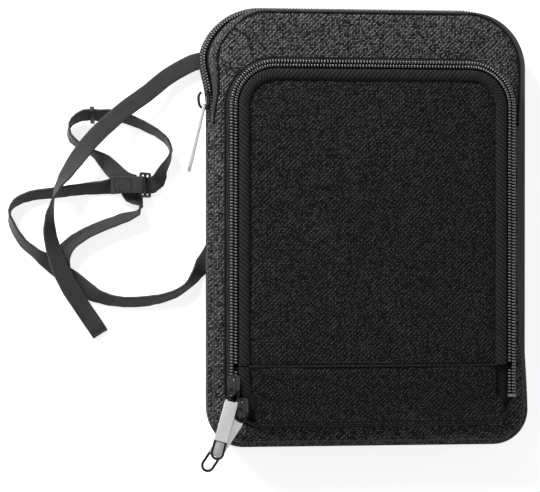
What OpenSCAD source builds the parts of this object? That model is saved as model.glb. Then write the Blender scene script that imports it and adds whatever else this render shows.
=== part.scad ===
// Neck pouch wallet, lying on its back: X across, Y towards the top edge, Z out of the front.
// The origin is the middle of the back face, on the surface that the pouch lies on.

/* [Pouch] */
// Width of the pouch
body_w = 150; // [140:1:200]
// Height of the pouch
body_h = 204; // [190:1:260]
// Radius of the two top corners
top_r = 28; // [24:1:34]
// Radius of the two bottom corners
bottom_r = 16; // [12:1:24]
// Thickness of the padded back cushion
pad_t = 2; // [1.8:0.1:4]
// Margin round the back cushion, where the strap can lie
pad_margin = 10; // [9.8:0.1:14]
// Thickness of the outer fabric panels
shell_t = 1.6; // [1.2:0.1:2.4]
// Thickness of the gusset's wall
gusset_t = 1.4; // [1:0.1:2]
// Depth of the main compartment, from back panel to front panel
main_d = 21; // [19:0.5:40]
// Thickness of the lining and of the slip pocket
lining_t = 0.6; // [0.4:0.1:1]

/* [Front pocket] */
// Width of the front pocket
pocket_w = 134; // [120:1:136]
// Height of the front pocket
pocket_h = 169; // [150:1:172]
// Distance from the pouch's bottom edge to the pocket's
pocket_lift = 10; // [8:1:14]
// Radius of the pocket's top corners
pocket_top_r = 22; // [18:1:26]
// Radius of the pocket's bottom corners
pocket_bottom_r = 16; // [15:0.5:18]
// Depth of the pocket, from the front panel to its zip
pocket_d = 7.4; // [6:0.2:16]
// Height of the cross seam above the pocket's bottom edge
seam_rise = 28; // [26:0.5:40]
// Width of the ribbed band beside the pocket's zip
welt_w = 4.6; // [3:0.2:7]
// Height of the ribbed band above the pocket's panel
welt_rise = 0.6; // [0.3:0.1:1]

/* [Zips] */
// Width of one half of the coil
coil_w = 1.5; // [1.2:0.1:2]
// Thickness of the coil
coil_t = 1.8; // [1.4:0.1:2.4]
// Space between the two halves, where the slider's neck runs
coil_gap = 1; // [0.9:0.1:1.4]
// Thickness of the zip tape
tape_t = 0.6; // [0.4:0.1:0.8]
// Width of the tape that shows beside the main coil
tape_show = 2.2; // [1.8:0.1:3]
// Length of a slider
slider_l = 9; // [8:0.2:10]
// Width of a slider's top plate
slider_w = 5.6; // [5:0.1:6]
// Thickness of a slider's plates
plate_t = 0.9; // [0.7:0.1:1.1]
// Length of a pull tab
tab_l = 32; // [26:0.5:38]
// Width of a pull tab
tab_w = 6.2; // [5:0.1:8]
// Thickness of a pull tab
tab_t = 1.2; // [1:0.1:1.4]
// Height of the main zip's ends above the middle of the pouch
main_zip_end = 47; // [30:1:52]

/* [Strap] */
// Width of the webbing
strap_w = 8; // [6:0.5:8]
// Thickness of the webbing
strap_t = 1.2; // [0.8:0.1:1.2]
// Width of the adjuster, across the webbing
adjuster_w = 12; // [11.6:0.1:14]
// Diameter of the adjuster's bars
bar_d = 1.2; // [1:0.1:1.3]

/* [Hidden] */
$fn = 48;

eps = 0.01;
fit = 0.2;

// Heights of the layers, from the surface up
back_z = pad_t;
main_z = back_z + shell_t;
front_z = main_z + main_d;
pocket_z = front_z + shell_t;
rim_z = pocket_z + pocket_d;
coil_z = rim_z + tape_t;
panel_z = coil_z - fit;

// The main zip runs round the middle of the gusset
zip_z = main_z + main_d / 2;
zip_half = coil_gap / 2 + coil_w;
band_edge = zip_half + tape_show;
main_end_y = main_zip_end;

// The pocket's outline and the places of its zip's parts, as insets from it
pocket_y = -body_h / 2 + pocket_lift + pocket_h / 2;
coil_in = 0.6;
chain_in = coil_in + zip_half;
welt_in = chain_in + slider_w / 2 + 0.4;
panel_in = welt_in + welt_w;
pocket_bottom = pocket_y - pocket_h / 2;
seam_y = pocket_bottom + seam_rise;
seam_gap = 0.5;
leg_x = -pocket_w / 2 + chain_in;

// Sliders of the pocket's zip: the upper one on the left leg, the lower one round the corner
upper_slider_y = seam_y - slider_l / 2 - 3.6;
lower_turn = 6;
lower_bearing = 33.5;
lower_r = pocket_bottom_r - chain_in - 2;
lower_x = -pocket_w / 2 + pocket_bottom_r - lower_r * cos(lower_bearing);
lower_y = pocket_bottom + pocket_bottom_r - lower_r * sin(lower_bearing);
leg_end_y = upper_slider_y - slider_l / 2 - 0.6;
diagonal_l = slider_l - 1;
main_slider_y = main_end_y + slider_l / 2 + 8;

// Eye of a slider, where its pull tab hangs
neck_w = coil_gap - 0.3;
foot_w = 2 * (chain_in - gusset_t - fit);
crown_w = 1.2;
crown_l = slider_l;
crown_h = 4.2;
pin_r = 0.5;
pin_rise = plate_t + 0.9;
pin_back = crown_l / 2 - 1 - pin_r - 0.15;
clear_z = 0.3;

// Strap: [x, y, height, roll] of each ring; roll 0 is flat, 90 is on edge
short_route = [
    [-77, 79, 4.6, 0], [-82, 77.8, 4.6, 0], [-94, 71, 5, 0], [-103.5, 63, 7.4, 0],
    [-113.5, 55.5, 9.4, 0], [-122, 48, 10.6, 2], [-129.5, 40.5, 11, 6], [-135.5, 33, 10.8, 18],
    [-141, 25, 11.8, 42], [-145, 18.5, 12.6, 68], [-147.5, 12, 12.8, 90], [-149, 5, 12, 112],
    [-149, -3, 11, 132], [-147, -12, 10, 146], [-143, -23, 9, 160], [-137, -33.5, 6.6, 172],
    [-131, -43, 4, 180], [-127, -49, 3.2, 180], [-126, -50.6, 2, 180], [-127, -49, 0.8, 0],
    [-132, -41.5, 1.6, 0], [-137, -34, 4, 0], [-141, -27.5, 4.4, 0], [-143.5, -20.5, 4.6, 0],
    [-143.5, -13.5, 5.6, -8], [-139.5, -8, 4.8, -44], [-130, -2, 4.4, -52],
    [-115, 4, 4.4, -56], [-108, 6.5, 4.8, -74], [-106.5, 9.5, 4.8, -96], [-108.3, 12.2, 4.4, -135],
    [-110.5, 14.5, 3.9, -177], [-112.6, 17.5, 3.9, -180]
];
long_route = [
    [70, 66, 0.8, 0], [70, 76, 0.8, 0], [63.5, 90, 0.8, 0], [48, 97, 0.8, 0], [-48, 97, 0.8, 0],
    [-63.5, 90, 0.8, 0], [-70, 76, 0.8, 0], [-70, 4, 0.8, 0], [-71, -7, 0.8, 0],
    [-74, -13.5, 0.8, 0], [-77.2, -18, 1.5, -10], [-80, -22.5, 3.4, -48],
    [-85, -28.5, 4.2, -68], [-93, -33, 4, -62],
    [-105.5, -35.5, 3.8, -54], [-117, -35.5, 3.7, -54], [-125.5, -33.5, 3.4, -44],
    [-131.5, -30.5, 2, -14], [-138, -25.5, 1.2, -4], [-144, -21.5, 1.2, -4],
    [-150.5, -16.5, 2.6, -26], [-156, -12.5, 4, -56], [-162, -7.5, 4, -60], [-167, 1, 4.2, -68],
    [-168, 7.5, 4.4, -90], [-165, 11.5, 4.2, -110], [-158, 14.5, 4, -120], [-146.5, 16, 3.9, -124],
    [-135.5, 17.5, 3.8, -126], [-125, 18.5, 3.4, -136], [-117.5, 19.5, 2.4, -168],
    [-112, 19.7, 2.1, -180], [-101.5, 19.7, 2.1, -180], [-98.6, 21.6, 2.8, -152],
    [-96.8, 26.2, 4, -122], [-94, 31, 4.4, -106], [-92.4, 36, 4.4, -86], [-95.6, 41.8, 4.2, -74],
    [-103.8, 47, 4.1, -66], [-113, 51, 4, -60], [-120, 52.6, 4.4, -56], [-126, 52.5, 5.6, -55],
    [-133, 52.5, 5.6, -55], [-138, 50, 4.8, -72], [-140.5, 46, 4.6, -96], [-139, 41, 4.5, -110],
    [-133, 37, 4.5, -96], [-128, 34, 4.8, -112], [-123.5, 30.5, 5.8, -146],
    [-119, 26, 6.8, -180], [-114, 22, 6.8, -180], [-109.5, 20.5, 6.8, -180]
];
adjuster_at = [-104.6, 19.7, 3.8];
adjuster_tilt = 55;
bar_step = 3.7;
fold_l = 14;
fold_t = 1;
keeper_at = [-129.5, 52.5, 5.6];
keeper_roll = -55;
keeper_l = 2;

// A flat outline with its own radii at the top and bottom corners
module rounded(w, h, r_top, r_bottom) {
    translate([-w / 2 + r_top, -h / 2 + r_bottom]) square([w - 2 * r_top, h - r_bottom]);
    translate([-w / 2 + r_bottom, -h / 2]) square([w - 2 * r_bottom, h - r_top]);
    translate([-w / 2, -h / 2 + r_bottom]) square([w, h - r_top - r_bottom]);
    for (side = [-1, 1]) {
        translate([side * (w / 2 - r_top), h / 2 - r_top]) circle(r_top);
        translate([side * (w / 2 - r_bottom), -h / 2 + r_bottom]) circle(r_bottom);
    }
}

module pouch_outline(inset = 0) {
    rounded(body_w - 2 * inset, body_h - 2 * inset, top_r - inset, bottom_r - inset);
}

module pocket_outline(inset = 0) {
    translate([0, pocket_y])
        rounded(pocket_w - 2 * inset, pocket_h - 2 * inset,
                pocket_top_r - inset, pocket_bottom_r - inset);
}

// Half planes that keep what lies above or below a level of Y
module above(y) {
    translate([-body_w, y]) square([2 * body_w, body_h]);
}

module below(y) {
    translate([-body_w, y - body_h]) square([2 * body_w, body_h]);
}

// Only the part of the gusset that the main zip runs round
module upper_band(outer, inner, z, h) {
    translate([0, 0, z]) linear_extrude(h) intersection() {
        difference() {
            pouch_outline(outer);
            pouch_outline(inner);
        }
        above(main_end_y);
    }
}

module pocket_strip(outer, inner, z, h) {
    translate([0, 0, z]) linear_extrude(h) difference() {
        pocket_outline(outer);
        pocket_outline(inner);
    }
}

// A strip of the pocket's front above the cross seam
module flap_strip(outer, inner, z, h) {
    translate([0, 0, z]) linear_extrude(h) intersection() {
        difference() {
            pocket_outline(outer);
            pocket_outline(inner);
        }
        above(seam_y + seam_gap);
    }
}

// A strip of the two short legs between the cross seam and the level end_y
module leg_strip(outer, inner, z, h, end_y) {
    translate([0, 0, z]) linear_extrude(h) intersection() {
        difference() {
            pocket_outline(outer);
            pocket_outline(inner);
        }
        below(seam_y - seam_gap);
        above(end_y);
    }
}

// Short slanting end of one half of the coil, under the lower slider
module diagonal_end(side) {
    translate([lower_x, lower_y, coil_z]) rotate([0, 0, lower_turn])
        translate([side * (coil_gap + coil_w) / 2 - coil_w / 2, -diagonal_l / 2, 0])
            cube([coil_w, diagonal_l, coil_t]);
}

// A slider lies on the middle of its chain, at the coil's underside, its pull end towards -Y
module slider() {
    top = coil_t + clear_z;
    translate([-slider_w / 2 + 1, -slider_l / 2, top]) cube([slider_w - 2, slider_l, plate_t]);
    translate([-slider_w / 2, -slider_l / 2 + 1.4, top])
        cube([slider_w, slider_l - 2.8, plate_t]);
    translate([-neck_w / 2, slider_l / 2 - 3, -tape_t - clear_z - plate_t])
        cube([neck_w, 2.6, top + tape_t + clear_z + plate_t + eps]);
    translate([-foot_w / 2, -slider_l / 2 + 1, -tape_t - clear_z - plate_t])
        cube([foot_w, slider_l - 2, plate_t]);
    // the crown is an arch along the slider, open across it
    difference() {
        translate([-crown_w / 2, -crown_l / 2, top + plate_t - eps])
            cube([crown_w, crown_l, crown_h]);
        translate([-crown_w, -crown_l / 2 + 1, top + plate_t])
            cube([2 * crown_w, crown_l - 2, crown_h - 0.8]);
    }
}

// A pull tab with its cross bar at the origin, hanging towards -Y, flat in the XY plane
module pull_tab() {
    eye_l = 4.8;
    eye_w = 4.4;
    loop_w = eye_w + 2;
    ring_l = 8;
    rim = 1.1;
    difference() {
        union() {
            translate([-loop_w / 2, -eye_l - 1, -tab_t / 2]) cube([loop_w, eye_l + 1, tab_t]);
            translate([-tab_w / 2, -tab_l + tab_w / 2, -tab_t / 2])
                cube([tab_w, tab_l - tab_w / 2 - eye_l, tab_t]);
            translate([0, -tab_l + tab_w / 2, -tab_t / 2]) cylinder(d = tab_w, h = tab_t);
        }
        translate([-eye_w / 2, -eye_l, -tab_t]) cube([eye_w, eye_l + 1, 2 * tab_t]);
        translate([-tab_w / 2 + rim, -tab_l + tab_w / 2, -tab_t])
            cube([tab_w - 2 * rim, ring_l - tab_w / 2, 2 * tab_t]);
        translate([0, -tab_l + tab_w / 2, -tab_t]) cylinder(d = tab_w - 2 * rim, h = 2 * tab_t);
    }
    translate([-loop_w / 2, 0, 0]) rotate([0, 90, 0]) cylinder(r = pin_r, h = loop_w);
}

module on_main_zip() {
    translate([-body_w / 2 + coil_t / 2, main_slider_y, zip_z])
        rotate([0, -90, 0]) translate([0, 0, -coil_t / 2]) children();
}

module on_left_leg() {
    translate([leg_x, upper_slider_y, coil_z]) children();
}

module on_corner() {
    translate([lower_x, lower_y, coil_z]) rotate([0, 0, lower_turn]) children();
}

// Where a pull tab hangs on its slider, dropped by droop degrees and swung by swing degrees
module on_crown(droop, swing, back = pin_back) {
    translate([0, -back, coil_t + clear_z + pin_rise])
        rotate([droop, 0, 0]) rotate([0, 0, swing]) children();
}

// The webbing's sweep: rings of eight points, with small chamfers along both edges
function spot(route, i) = [route[i].x, route[i].y, route[i].z];
function unit(v) = v / norm(v);
function step(route, i) = let (last = len(route) - 1)
    spot(route, min(i + 1, last)) - spot(route, max(i - 1, 0));
function level(route, i) = let (a = step(route, i), b = spot(route, i) - spot(route, max(i - 1, 0)))
    norm([a.x, a.y]) > 0.5 ? unit([a.x, a.y, 0]) : unit([b.x, b.y, 0]);
function leaning(route, i) = let (h = level(route, i), roll = route[i][3])
    cos(roll) * [-h.y, h.x, 0] + [0, 0, sin(roll)];
function across(route, i) = let (t = unit(step(route, i)), w = leaning(route, i))
    unit(w - (w * t) * t);
function section() = let (w = strap_w / 2, t = strap_t / 2, c = 0.3)
    [[w, t - c], [w - c, t], [c - w, t], [-w, t - c], [-w, c - t], [c - w, -t], [w - c, -t], [w, c - t]];
function ring(route, i) = let (w = across(route, i), n = cross(unit(step(route, i)), w))
    [for (p = section()) spot(route, i) + p.x * w + p.y * n];

module webbing(route) {
    sides = 8;
    last = len(route) - 1;
    points = [for (i = [0 : last]) each ring(route, i)];
    walls = [for (i = [0 : last - 1], k = [0 : sides - 1])
        let (a = i * sides + k, b = i * sides + (k + 1) % sides)
            each [[a, b, b + sides], [a, b + sides, a + sides]]];
    start = [for (k = [sides - 1 : -1 : 0]) k];
    end = [for (k = [0 : sides - 1]) last * sides + k];
    polyhedron(points, concat(walls, [start, end]));
}

// ---- Back and main compartment ----

module back_pad() {
    color("#2c2c2e") linear_extrude(pad_t)
        rounded(body_w - 2 * pad_margin, body_h - 2 * pad_margin, top_r - 4, bottom_r - 4);
}

module back_panel() {
    color("#38383a") translate([0, 0, back_z]) linear_extrude(shell_t) pouch_outline();
}

module back_lining() {
    color("#26262a") translate([0, 0, main_z]) linear_extrude(lining_t)
        pouch_outline(gusset_t + fit);
}

module slip_pocket() {
    color("#26262a") translate([0, 0, main_z + lining_t]) linear_extrude(lining_t) intersection() {
        pouch_outline(gusset_t + 4);
        below(body_h / 6);
    }
}

module lower_gusset() {
    color("#38383a") translate([0, 0, main_z]) linear_extrude(main_d) intersection() {
        difference() {
            pouch_outline();
            pouch_outline(gusset_t);
        }
        below(main_end_y);
    }
}

module rear_gusset_band() {
    color("#38383a") upper_band(0, gusset_t, main_z, zip_z - band_edge - main_z);
}

module front_gusset_band() {
    color("#38383a") upper_band(0, gusset_t, zip_z + band_edge, front_z - zip_z - band_edge);
}

module main_tape(side) {
    z = side < 0 ? zip_z - band_edge : zip_z + coil_gap / 2;
    translate([0, 0, z]) linear_extrude(band_edge - coil_gap / 2) intersection() {
        difference() {
            pouch_outline(coil_t);
            pouch_outline(coil_t + tape_t);
        }
        above(main_end_y + fit);
    }
    // the tape's edge is sewn out to the gusset band
    edge_z = side < 0 ? zip_z - band_edge : zip_z + zip_half + fit;
    translate([0, 0, edge_z]) linear_extrude(tape_show - fit) intersection() {
        difference() {
            pouch_outline(gusset_t / 2);
            pouch_outline(coil_t + eps);
        }
        above(main_end_y + fit);
    }
}

module main_tape_rear() {
    color("#202022") main_tape(-1);
}

module main_tape_front() {
    color("#202022") main_tape(1);
}

module main_coil(z) {
    translate([0, 0, z]) linear_extrude(coil_w) intersection() {
        difference() {
            pouch_outline();
            pouch_outline(coil_t);
        }
        above(main_end_y + 2);
    }
}

module main_coil_rear() {
    color("#5a5c60") main_coil(zip_z - zip_half);
}

module main_coil_front() {
    color("#5a5c60") main_coil(zip_z + coil_gap / 2);
}

module main_zip_stops() {
    color("#5a5c60") for (side = [-1, 1])
        translate([side * (body_w / 2 - coil_t / 2), main_end_y + 1, zip_z])
            cube([coil_t, 1.6, 2 * zip_half], center = true);
}

module main_slider() {
    color("#3a3b3e") on_main_zip() slider();
}

module main_pull_tab() {
    color("#c9cacc") on_main_zip() on_crown(-13, 0) pull_tab();
}

module front_lining() {
    color("#26262a") translate([0, 0, front_z - lining_t]) linear_extrude(lining_t)
        pouch_outline(gusset_t + fit);
}

module front_panel() {
    color("#38383a") translate([0, 0, front_z]) linear_extrude(shell_t) pouch_outline();
}

// ---- Front pocket ----

module card_slots() {
    slot_w = 92;
    slot_h = 54;
    step_y = 12;
    color("#26262a") for (i = [0 : 2])
        translate([-slot_w / 2, pocket_bottom + 34, pocket_z + i * lining_t])
            cube([slot_w, slot_h + (2 - i) * step_y, lining_t]);
}

module pocket_wall() {
    color("#38383a") pocket_strip(0, gusset_t, pocket_z, pocket_d);
}

module pocket_tape_outer() {
    color("#202022") pocket_strip(0, coil_in + coil_w, rim_z, tape_t);
}

module pocket_coil_outer() {
    color("#5a5c60") {
        translate([0, 0, coil_z]) linear_extrude(coil_t) intersection() {
            difference() {
                pocket_outline(coil_in);
                pocket_outline(coil_in + coil_w);
            }
            above(leg_end_y);
        }
        diagonal_end(-1);
    }
}

module flap_panel() {
    color("#2f2f31") translate([0, 0, panel_z]) linear_extrude(shell_t) intersection() {
        pocket_outline(panel_in);
        above(seam_y + seam_gap);
    }
}

module flap_welt() {
    color("#38383a") flap_strip(welt_in, panel_in, panel_z, shell_t + welt_rise);
}

module flap_tape() {
    color("#202022") flap_strip(chain_in + coil_gap / 2, welt_in + 2, rim_z - fit, tape_t);
}

module flap_coil() {
    color("#5a5c60")
        flap_strip(chain_in + coil_gap / 2, chain_in + zip_half, rim_z - fit + tape_t, coil_t);
}

module lower_panel() {
    color("#2f2f31") translate([0, 0, panel_z]) linear_extrude(shell_t) intersection() {
        pocket_outline(panel_in);
        below(seam_y - seam_gap);
    }
}

// Room in the band and the tape for the lower slider and its end of the coil
module corner_room() {
    on_corner() translate([0, -slider_l / 4, 0])
        cube([slider_w + 2 * fit, 1.6 * slider_l, 4 * coil_t], center = true);
}

module lower_welt() {
    color("#38383a") difference() {
        translate([0, 0, panel_z]) linear_extrude(shell_t + welt_rise) intersection() {
            difference() {
                pocket_outline(welt_in);
                pocket_outline(panel_in);
            }
            below(seam_y - seam_gap);
        }
        corner_room();
    }
}

module lower_tape() {
    color("#202022") difference() {
        translate([0, 0, rim_z]) linear_extrude(tape_t - fit) intersection() {
            difference() {
                pocket_outline(chain_in + coil_gap / 2);
                pocket_outline(welt_in + 2);
            }
            below(seam_y - seam_gap);
        }
        corner_room();
    }
}

module lower_coil() {
    color("#5a5c60") {
        leg_strip(chain_in + coil_gap / 2, chain_in + zip_half, coil_z, coil_t, leg_end_y);
        diagonal_end(1);
    }
}

module pocket_zip_stops() {
    color("#5a5c60") translate([-leg_x, leg_end_y - 0.8 - fit, coil_z + coil_t / 2])
        cube([2 * zip_half, 1.6, coil_t], center = true);
}

module pocket_slider_upper() {
    color("#3a3b3e") on_left_leg() slider();
}

module pocket_pull_upper() {
    color("#c9cacc") on_left_leg() on_crown(-11, -16) pull_tab();
}

module pocket_slider_lower() {
    color("#3a3b3e") on_corner() slider();
}

module pocket_pull_lower() {
    color("#c9cacc") on_corner() on_crown(0, -40, pin_back - 0.75) pull_tab();
}

// ---- Strap ----

module strap_anchor_left() {
    color("#2a2a2c") translate([-body_w / 2 - 1.6, short_route[0].y - 5, main_z])
        cube([1.6, 10, 0.35]);
}

module strap_anchor_right() {
    color("#2a2a2c") translate([long_route[0].x - 4, long_route[0].y - 4, back_z - 0.5])
        cube([8, 12, 0.5]);
}

module strap_short() {
    color("#303032") webbing(short_route);
}

module strap_long() {
    color("#303032") webbing(long_route);
}

module strap_adjuster() {
    color("#151517") translate(adjuster_at) rotate([0, adjuster_tilt, 0]) {
        for (side = [-1, 1])
            translate([0, side * (adjuster_w - bar_d) / 2, 0])
                cube([2 * bar_step, bar_d, bar_d], center = true);
        for (k = [-1 : 1])
            translate([k * bar_step, 0, 0]) rotate([90, 0, 0])
                cylinder(d = bar_d, h = adjuster_w, center = true);
    }
}

module strap_fold() {
    bar_x = adjuster_at.x - bar_step * cos(adjuster_tilt);
    bar_z = adjuster_at.z + bar_step * sin(adjuster_tilt);
    outer_r = bar_d / 2 + 0.4 + fold_t;
    color("#303032") translate([bar_x, adjuster_at.y + strap_w / 2, bar_z]) rotate([90, 0, 0])
        linear_extrude(strap_w) difference() {
            union() {
                circle(outer_r);
                translate([-fold_l, -outer_r]) square([fold_l, 2 * outer_r]);
            }
            circle(outer_r - fold_t);
            translate([-fold_l - 1, fold_t - outer_r])
                square([fold_l + 1, 2 * outer_r - 2 * fold_t]);
        }
}

module strap_keeper() {
    wall = 0.8;
    gap = 0.3;
    color("#151517") translate(keeper_at) rotate([-keeper_roll, 0, 0]) difference() {
        cube([keeper_l, strap_w + 2 * (wall + gap), strap_t + 2 * (wall + gap)], center = true);
        cube([keeper_l + 1, strap_w + 2 * gap, strap_t + 2 * gap], center = true);
    }
}

back_pad();
back_panel();
back_lining();
slip_pocket();
lower_gusset();
rear_gusset_band();
front_gusset_band();
main_tape_rear();
main_tape_front();
main_coil_rear();
main_coil_front();
main_zip_stops();
main_slider();
main_pull_tab();
front_lining();
front_panel();
card_slots();
pocket_wall();
pocket_tape_outer();
pocket_coil_outer();
flap_panel();
flap_welt();
flap_tape();
flap_coil();
lower_panel();
lower_welt();
lower_tape();
lower_coil();
pocket_zip_stops();
pocket_slider_upper();
pocket_pull_upper();
pocket_slider_lower();
pocket_pull_lower();
strap_anchor_left();
strap_anchor_right();
strap_short();
strap_long();
strap_adjuster();
strap_fold();
strap_keeper();
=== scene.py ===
import math
import random
import bmesh
import bpy
from mathutils import Matrix, Vector, noise


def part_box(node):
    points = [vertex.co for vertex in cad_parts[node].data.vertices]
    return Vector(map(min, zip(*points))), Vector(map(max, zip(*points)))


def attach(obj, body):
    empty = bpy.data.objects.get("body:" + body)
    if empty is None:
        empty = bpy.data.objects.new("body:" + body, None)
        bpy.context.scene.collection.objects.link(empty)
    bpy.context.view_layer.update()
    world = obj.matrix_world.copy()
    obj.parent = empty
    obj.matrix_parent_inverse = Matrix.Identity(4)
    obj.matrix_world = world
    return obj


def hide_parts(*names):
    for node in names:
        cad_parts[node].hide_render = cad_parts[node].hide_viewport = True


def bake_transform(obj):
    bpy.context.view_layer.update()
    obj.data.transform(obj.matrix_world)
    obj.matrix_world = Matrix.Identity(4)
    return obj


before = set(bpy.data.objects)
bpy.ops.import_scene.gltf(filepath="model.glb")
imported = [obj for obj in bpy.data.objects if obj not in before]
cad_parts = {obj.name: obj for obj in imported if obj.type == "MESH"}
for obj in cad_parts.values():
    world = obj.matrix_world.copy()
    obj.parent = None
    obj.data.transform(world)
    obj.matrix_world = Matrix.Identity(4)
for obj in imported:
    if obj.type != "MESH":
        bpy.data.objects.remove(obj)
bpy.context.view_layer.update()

mm = 0.001
random.seed(11)
zUp = Vector((0, 0, 1))

# ---- camera, lamps and floor ----

view = {"place": (-105.55, -5.62, 700), "target": (-45.92, -9.20, 12), "lens": 97.5}
light = {"key": 5.2, "fill": 1.1, "sky": 0.2}


def aim(place, target, upward):
    back = (Vector(place) - Vector(target)).normalized()
    side = Vector(upward).cross(back).normalized()
    turn = Matrix((side, back.cross(side), back)).transposed().to_4x4()
    return Matrix.Translation(Vector(place) * mm) @ turn


camera = bpy.data.objects.new("camera", bpy.data.cameras.new("camera"))
camera.data.lens = view["lens"]
camera.data.clip_start = 0.01
camera.matrix_world = aim(view["place"], view["target"], (0, 1, 0))
bpy.context.collection.objects.link(camera)
bpy.context.scene.camera = camera
bpy.context.scene.view_settings.view_transform = "Standard"


def lamp(name, place, target, size, watts):
    data = bpy.data.lights.new(name, "AREA")
    data.shape = "DISK"
    data.size = size
    data.energy = watts
    thing = bpy.data.objects.new(name, data)
    thing.matrix_world = aim(place, target, (0, 1, 0.01))
    bpy.context.collection.objects.link(thing)


lamp("keyLamp", (-430, 450, 400), (-60, 0, 20), 0.3, light["key"])
lamp("fillLamp", (150, -100, 1200), (-40, 0, 0), 1.0, light["fill"])


def nodesOf(material):
    material.use_nodes = True
    tree = material.node_tree
    tree.nodes.clear()
    return tree, tree.nodes, tree.links


def seenDirectly(tree):
    # 1 where the camera, a gloss or a clear surface looks straight at it
    path = tree.nodes.new("ShaderNodeLightPath")
    total = None
    for name in ("Is Camera Ray", "Is Glossy Ray", "Is Transmission Ray"):
        if total is None:
            total = path.outputs[name]
            continue
        most = tree.nodes.new("ShaderNodeMath")
        most.operation = "MAXIMUM"
        tree.links.new(total, most.inputs[0])
        tree.links.new(path.outputs[name], most.inputs[1])
        total = most.outputs[0]
    return total


world = bpy.data.worlds.new("paleRoom")
bpy.context.scene.world = world
world.use_nodes = True
tree = world.node_tree
tree.nodes.clear()
sky = tree.nodes.new("ShaderNodeBackground")
sky.inputs["Strength"].default_value = light["sky"]
backdrop = tree.nodes.new("ShaderNodeBackground")
backdrop.inputs["Strength"].default_value = 1
mixed = tree.nodes.new("ShaderNodeMixShader")
tree.links.new(seenDirectly(tree), mixed.inputs[0])
tree.links.new(sky.outputs[0], mixed.inputs[1])
tree.links.new(backdrop.outputs[0], mixed.inputs[2])
tree.links.new(mixed.outputs[0], tree.nodes.new("ShaderNodeOutputWorld").inputs[0])

floorPaint = bpy.data.materials.new("floorPaint")
tree, nodes, links = nodesOf(floorPaint)
matt = nodes.new("ShaderNodeBsdfDiffuse")
matt.inputs["Color"].default_value = (0.88, 0.88, 0.88, 1)
lift = nodes.new("ShaderNodeEmission")
lift.inputs["Strength"].default_value = 0.76
lifted = nodes.new("ShaderNodeAddShader")
links.new(matt.outputs[0], lifted.inputs[0])
links.new(lift.outputs[0], lifted.inputs[1])
floorMix = nodes.new("ShaderNodeMixShader")
links.new(seenDirectly(tree), floorMix.inputs[0])
links.new(matt.outputs[0], floorMix.inputs[1])
links.new(lifted.outputs[0], floorMix.inputs[2])
links.new(floorMix.outputs[0], nodes.new("ShaderNodeOutputMaterial").inputs[0])
bm = bmesh.new()
bmesh.ops.create_grid(bm, x_segments=1, y_segments=1, size=4)
floorMesh = bpy.data.meshes.new("floor")
bm.to_mesh(floorMesh)
bm.free()
floorMesh.materials.append(floorPaint)
floor = bpy.data.objects.new("floor", floorMesh)
floor.location.z = -0.0002
bpy.context.collection.objects.link(floor)
print("camera and floor are set")

# ---- finishes ----


class Net:
    # short words for wiring a material's nodes
    def __init__(self, name):
        self.material = bpy.data.materials.new(name)
        self.tree, self.nodes, self.links = nodesOf(self.material)
        self.shader = self.nodes.new("ShaderNodeBsdfPrincipled")
        out = self.nodes.new("ShaderNodeOutputMaterial")
        self.links.new(self.shader.outputs[0], out.inputs[0])

    def put(self, socket, value):
        if hasattr(value, "is_output"):
            self.links.new(value, socket)
        else:
            socket.default_value = value

    def math(self, operation, a, b=0.0, c=0.0):
        node = self.nodes.new("ShaderNodeMath")
        node.operation = operation
        for socket, value in zip(node.inputs, (a, b, c)):
            self.put(socket, value)
        return node.outputs[0]

    def ramp(self, factor, low, high, fromLow=0.0, fromHigh=1.0):
        node = self.nodes.new("ShaderNodeMapRange")
        for socket, value in zip(node.inputs, (factor, fromLow, fromHigh, low, high)):
            self.put(socket, value)
        return node.outputs[0]

    def split(self, vector):
        node = self.nodes.new("ShaderNodeSeparateXYZ")
        self.put(node.inputs[0], vector)
        return node.outputs[0], node.outputs[1], node.outputs[2]

    def join(self, x, y, z=0.0):
        node = self.nodes.new("ShaderNodeCombineXYZ")
        for socket, value in zip(node.inputs, (x, y, z)):
            self.put(socket, value)
        return node.outputs[0]

    def noise(self, vector, scale, detail=2.0, rough=0.5):
        node = self.nodes.new("ShaderNodeTexNoise")
        self.put(node.inputs["Vector"], vector)
        node.inputs["Scale"].default_value = scale
        node.inputs["Detail"].default_value = detail
        node.inputs["Roughness"].default_value = rough
        return node.outputs["Fac"]

    def chance(self, vector):
        node = self.nodes.new("ShaderNodeTexWhiteNoise")
        node.noise_dimensions = "3D"
        self.put(node.inputs["Vector"], vector)
        return node.outputs["Value"]

    def mix(self, factor, a, b):
        node = self.nodes.new("ShaderNodeMix")
        node.data_type = "RGBA"
        self.put(node.inputs[0], factor)
        self.put(node.inputs[6], a)
        self.put(node.inputs[7], b)
        return node.outputs[2]

    def place(self):
        node = self.nodes.new("ShaderNodeTexCoord")
        return node.outputs["Object"]

    def cloth(self):
        node = self.nodes.new("ShaderNodeAttribute")
        node.attribute_name = "weave"
        return node.outputs["Vector"]

    def bump(self, height, distance, strength=1.0):
        node = self.nodes.new("ShaderNodeBump")
        node.inputs["Distance"].default_value = distance
        node.inputs["Strength"].default_value = strength
        self.put(node.inputs["Height"], height)
        self.links.new(node.outputs[0], self.shader.inputs["Normal"])


def grey(value, warm=0.0):
    return (value * (1 + warm), value, value * (1 - warm), 1)


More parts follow.
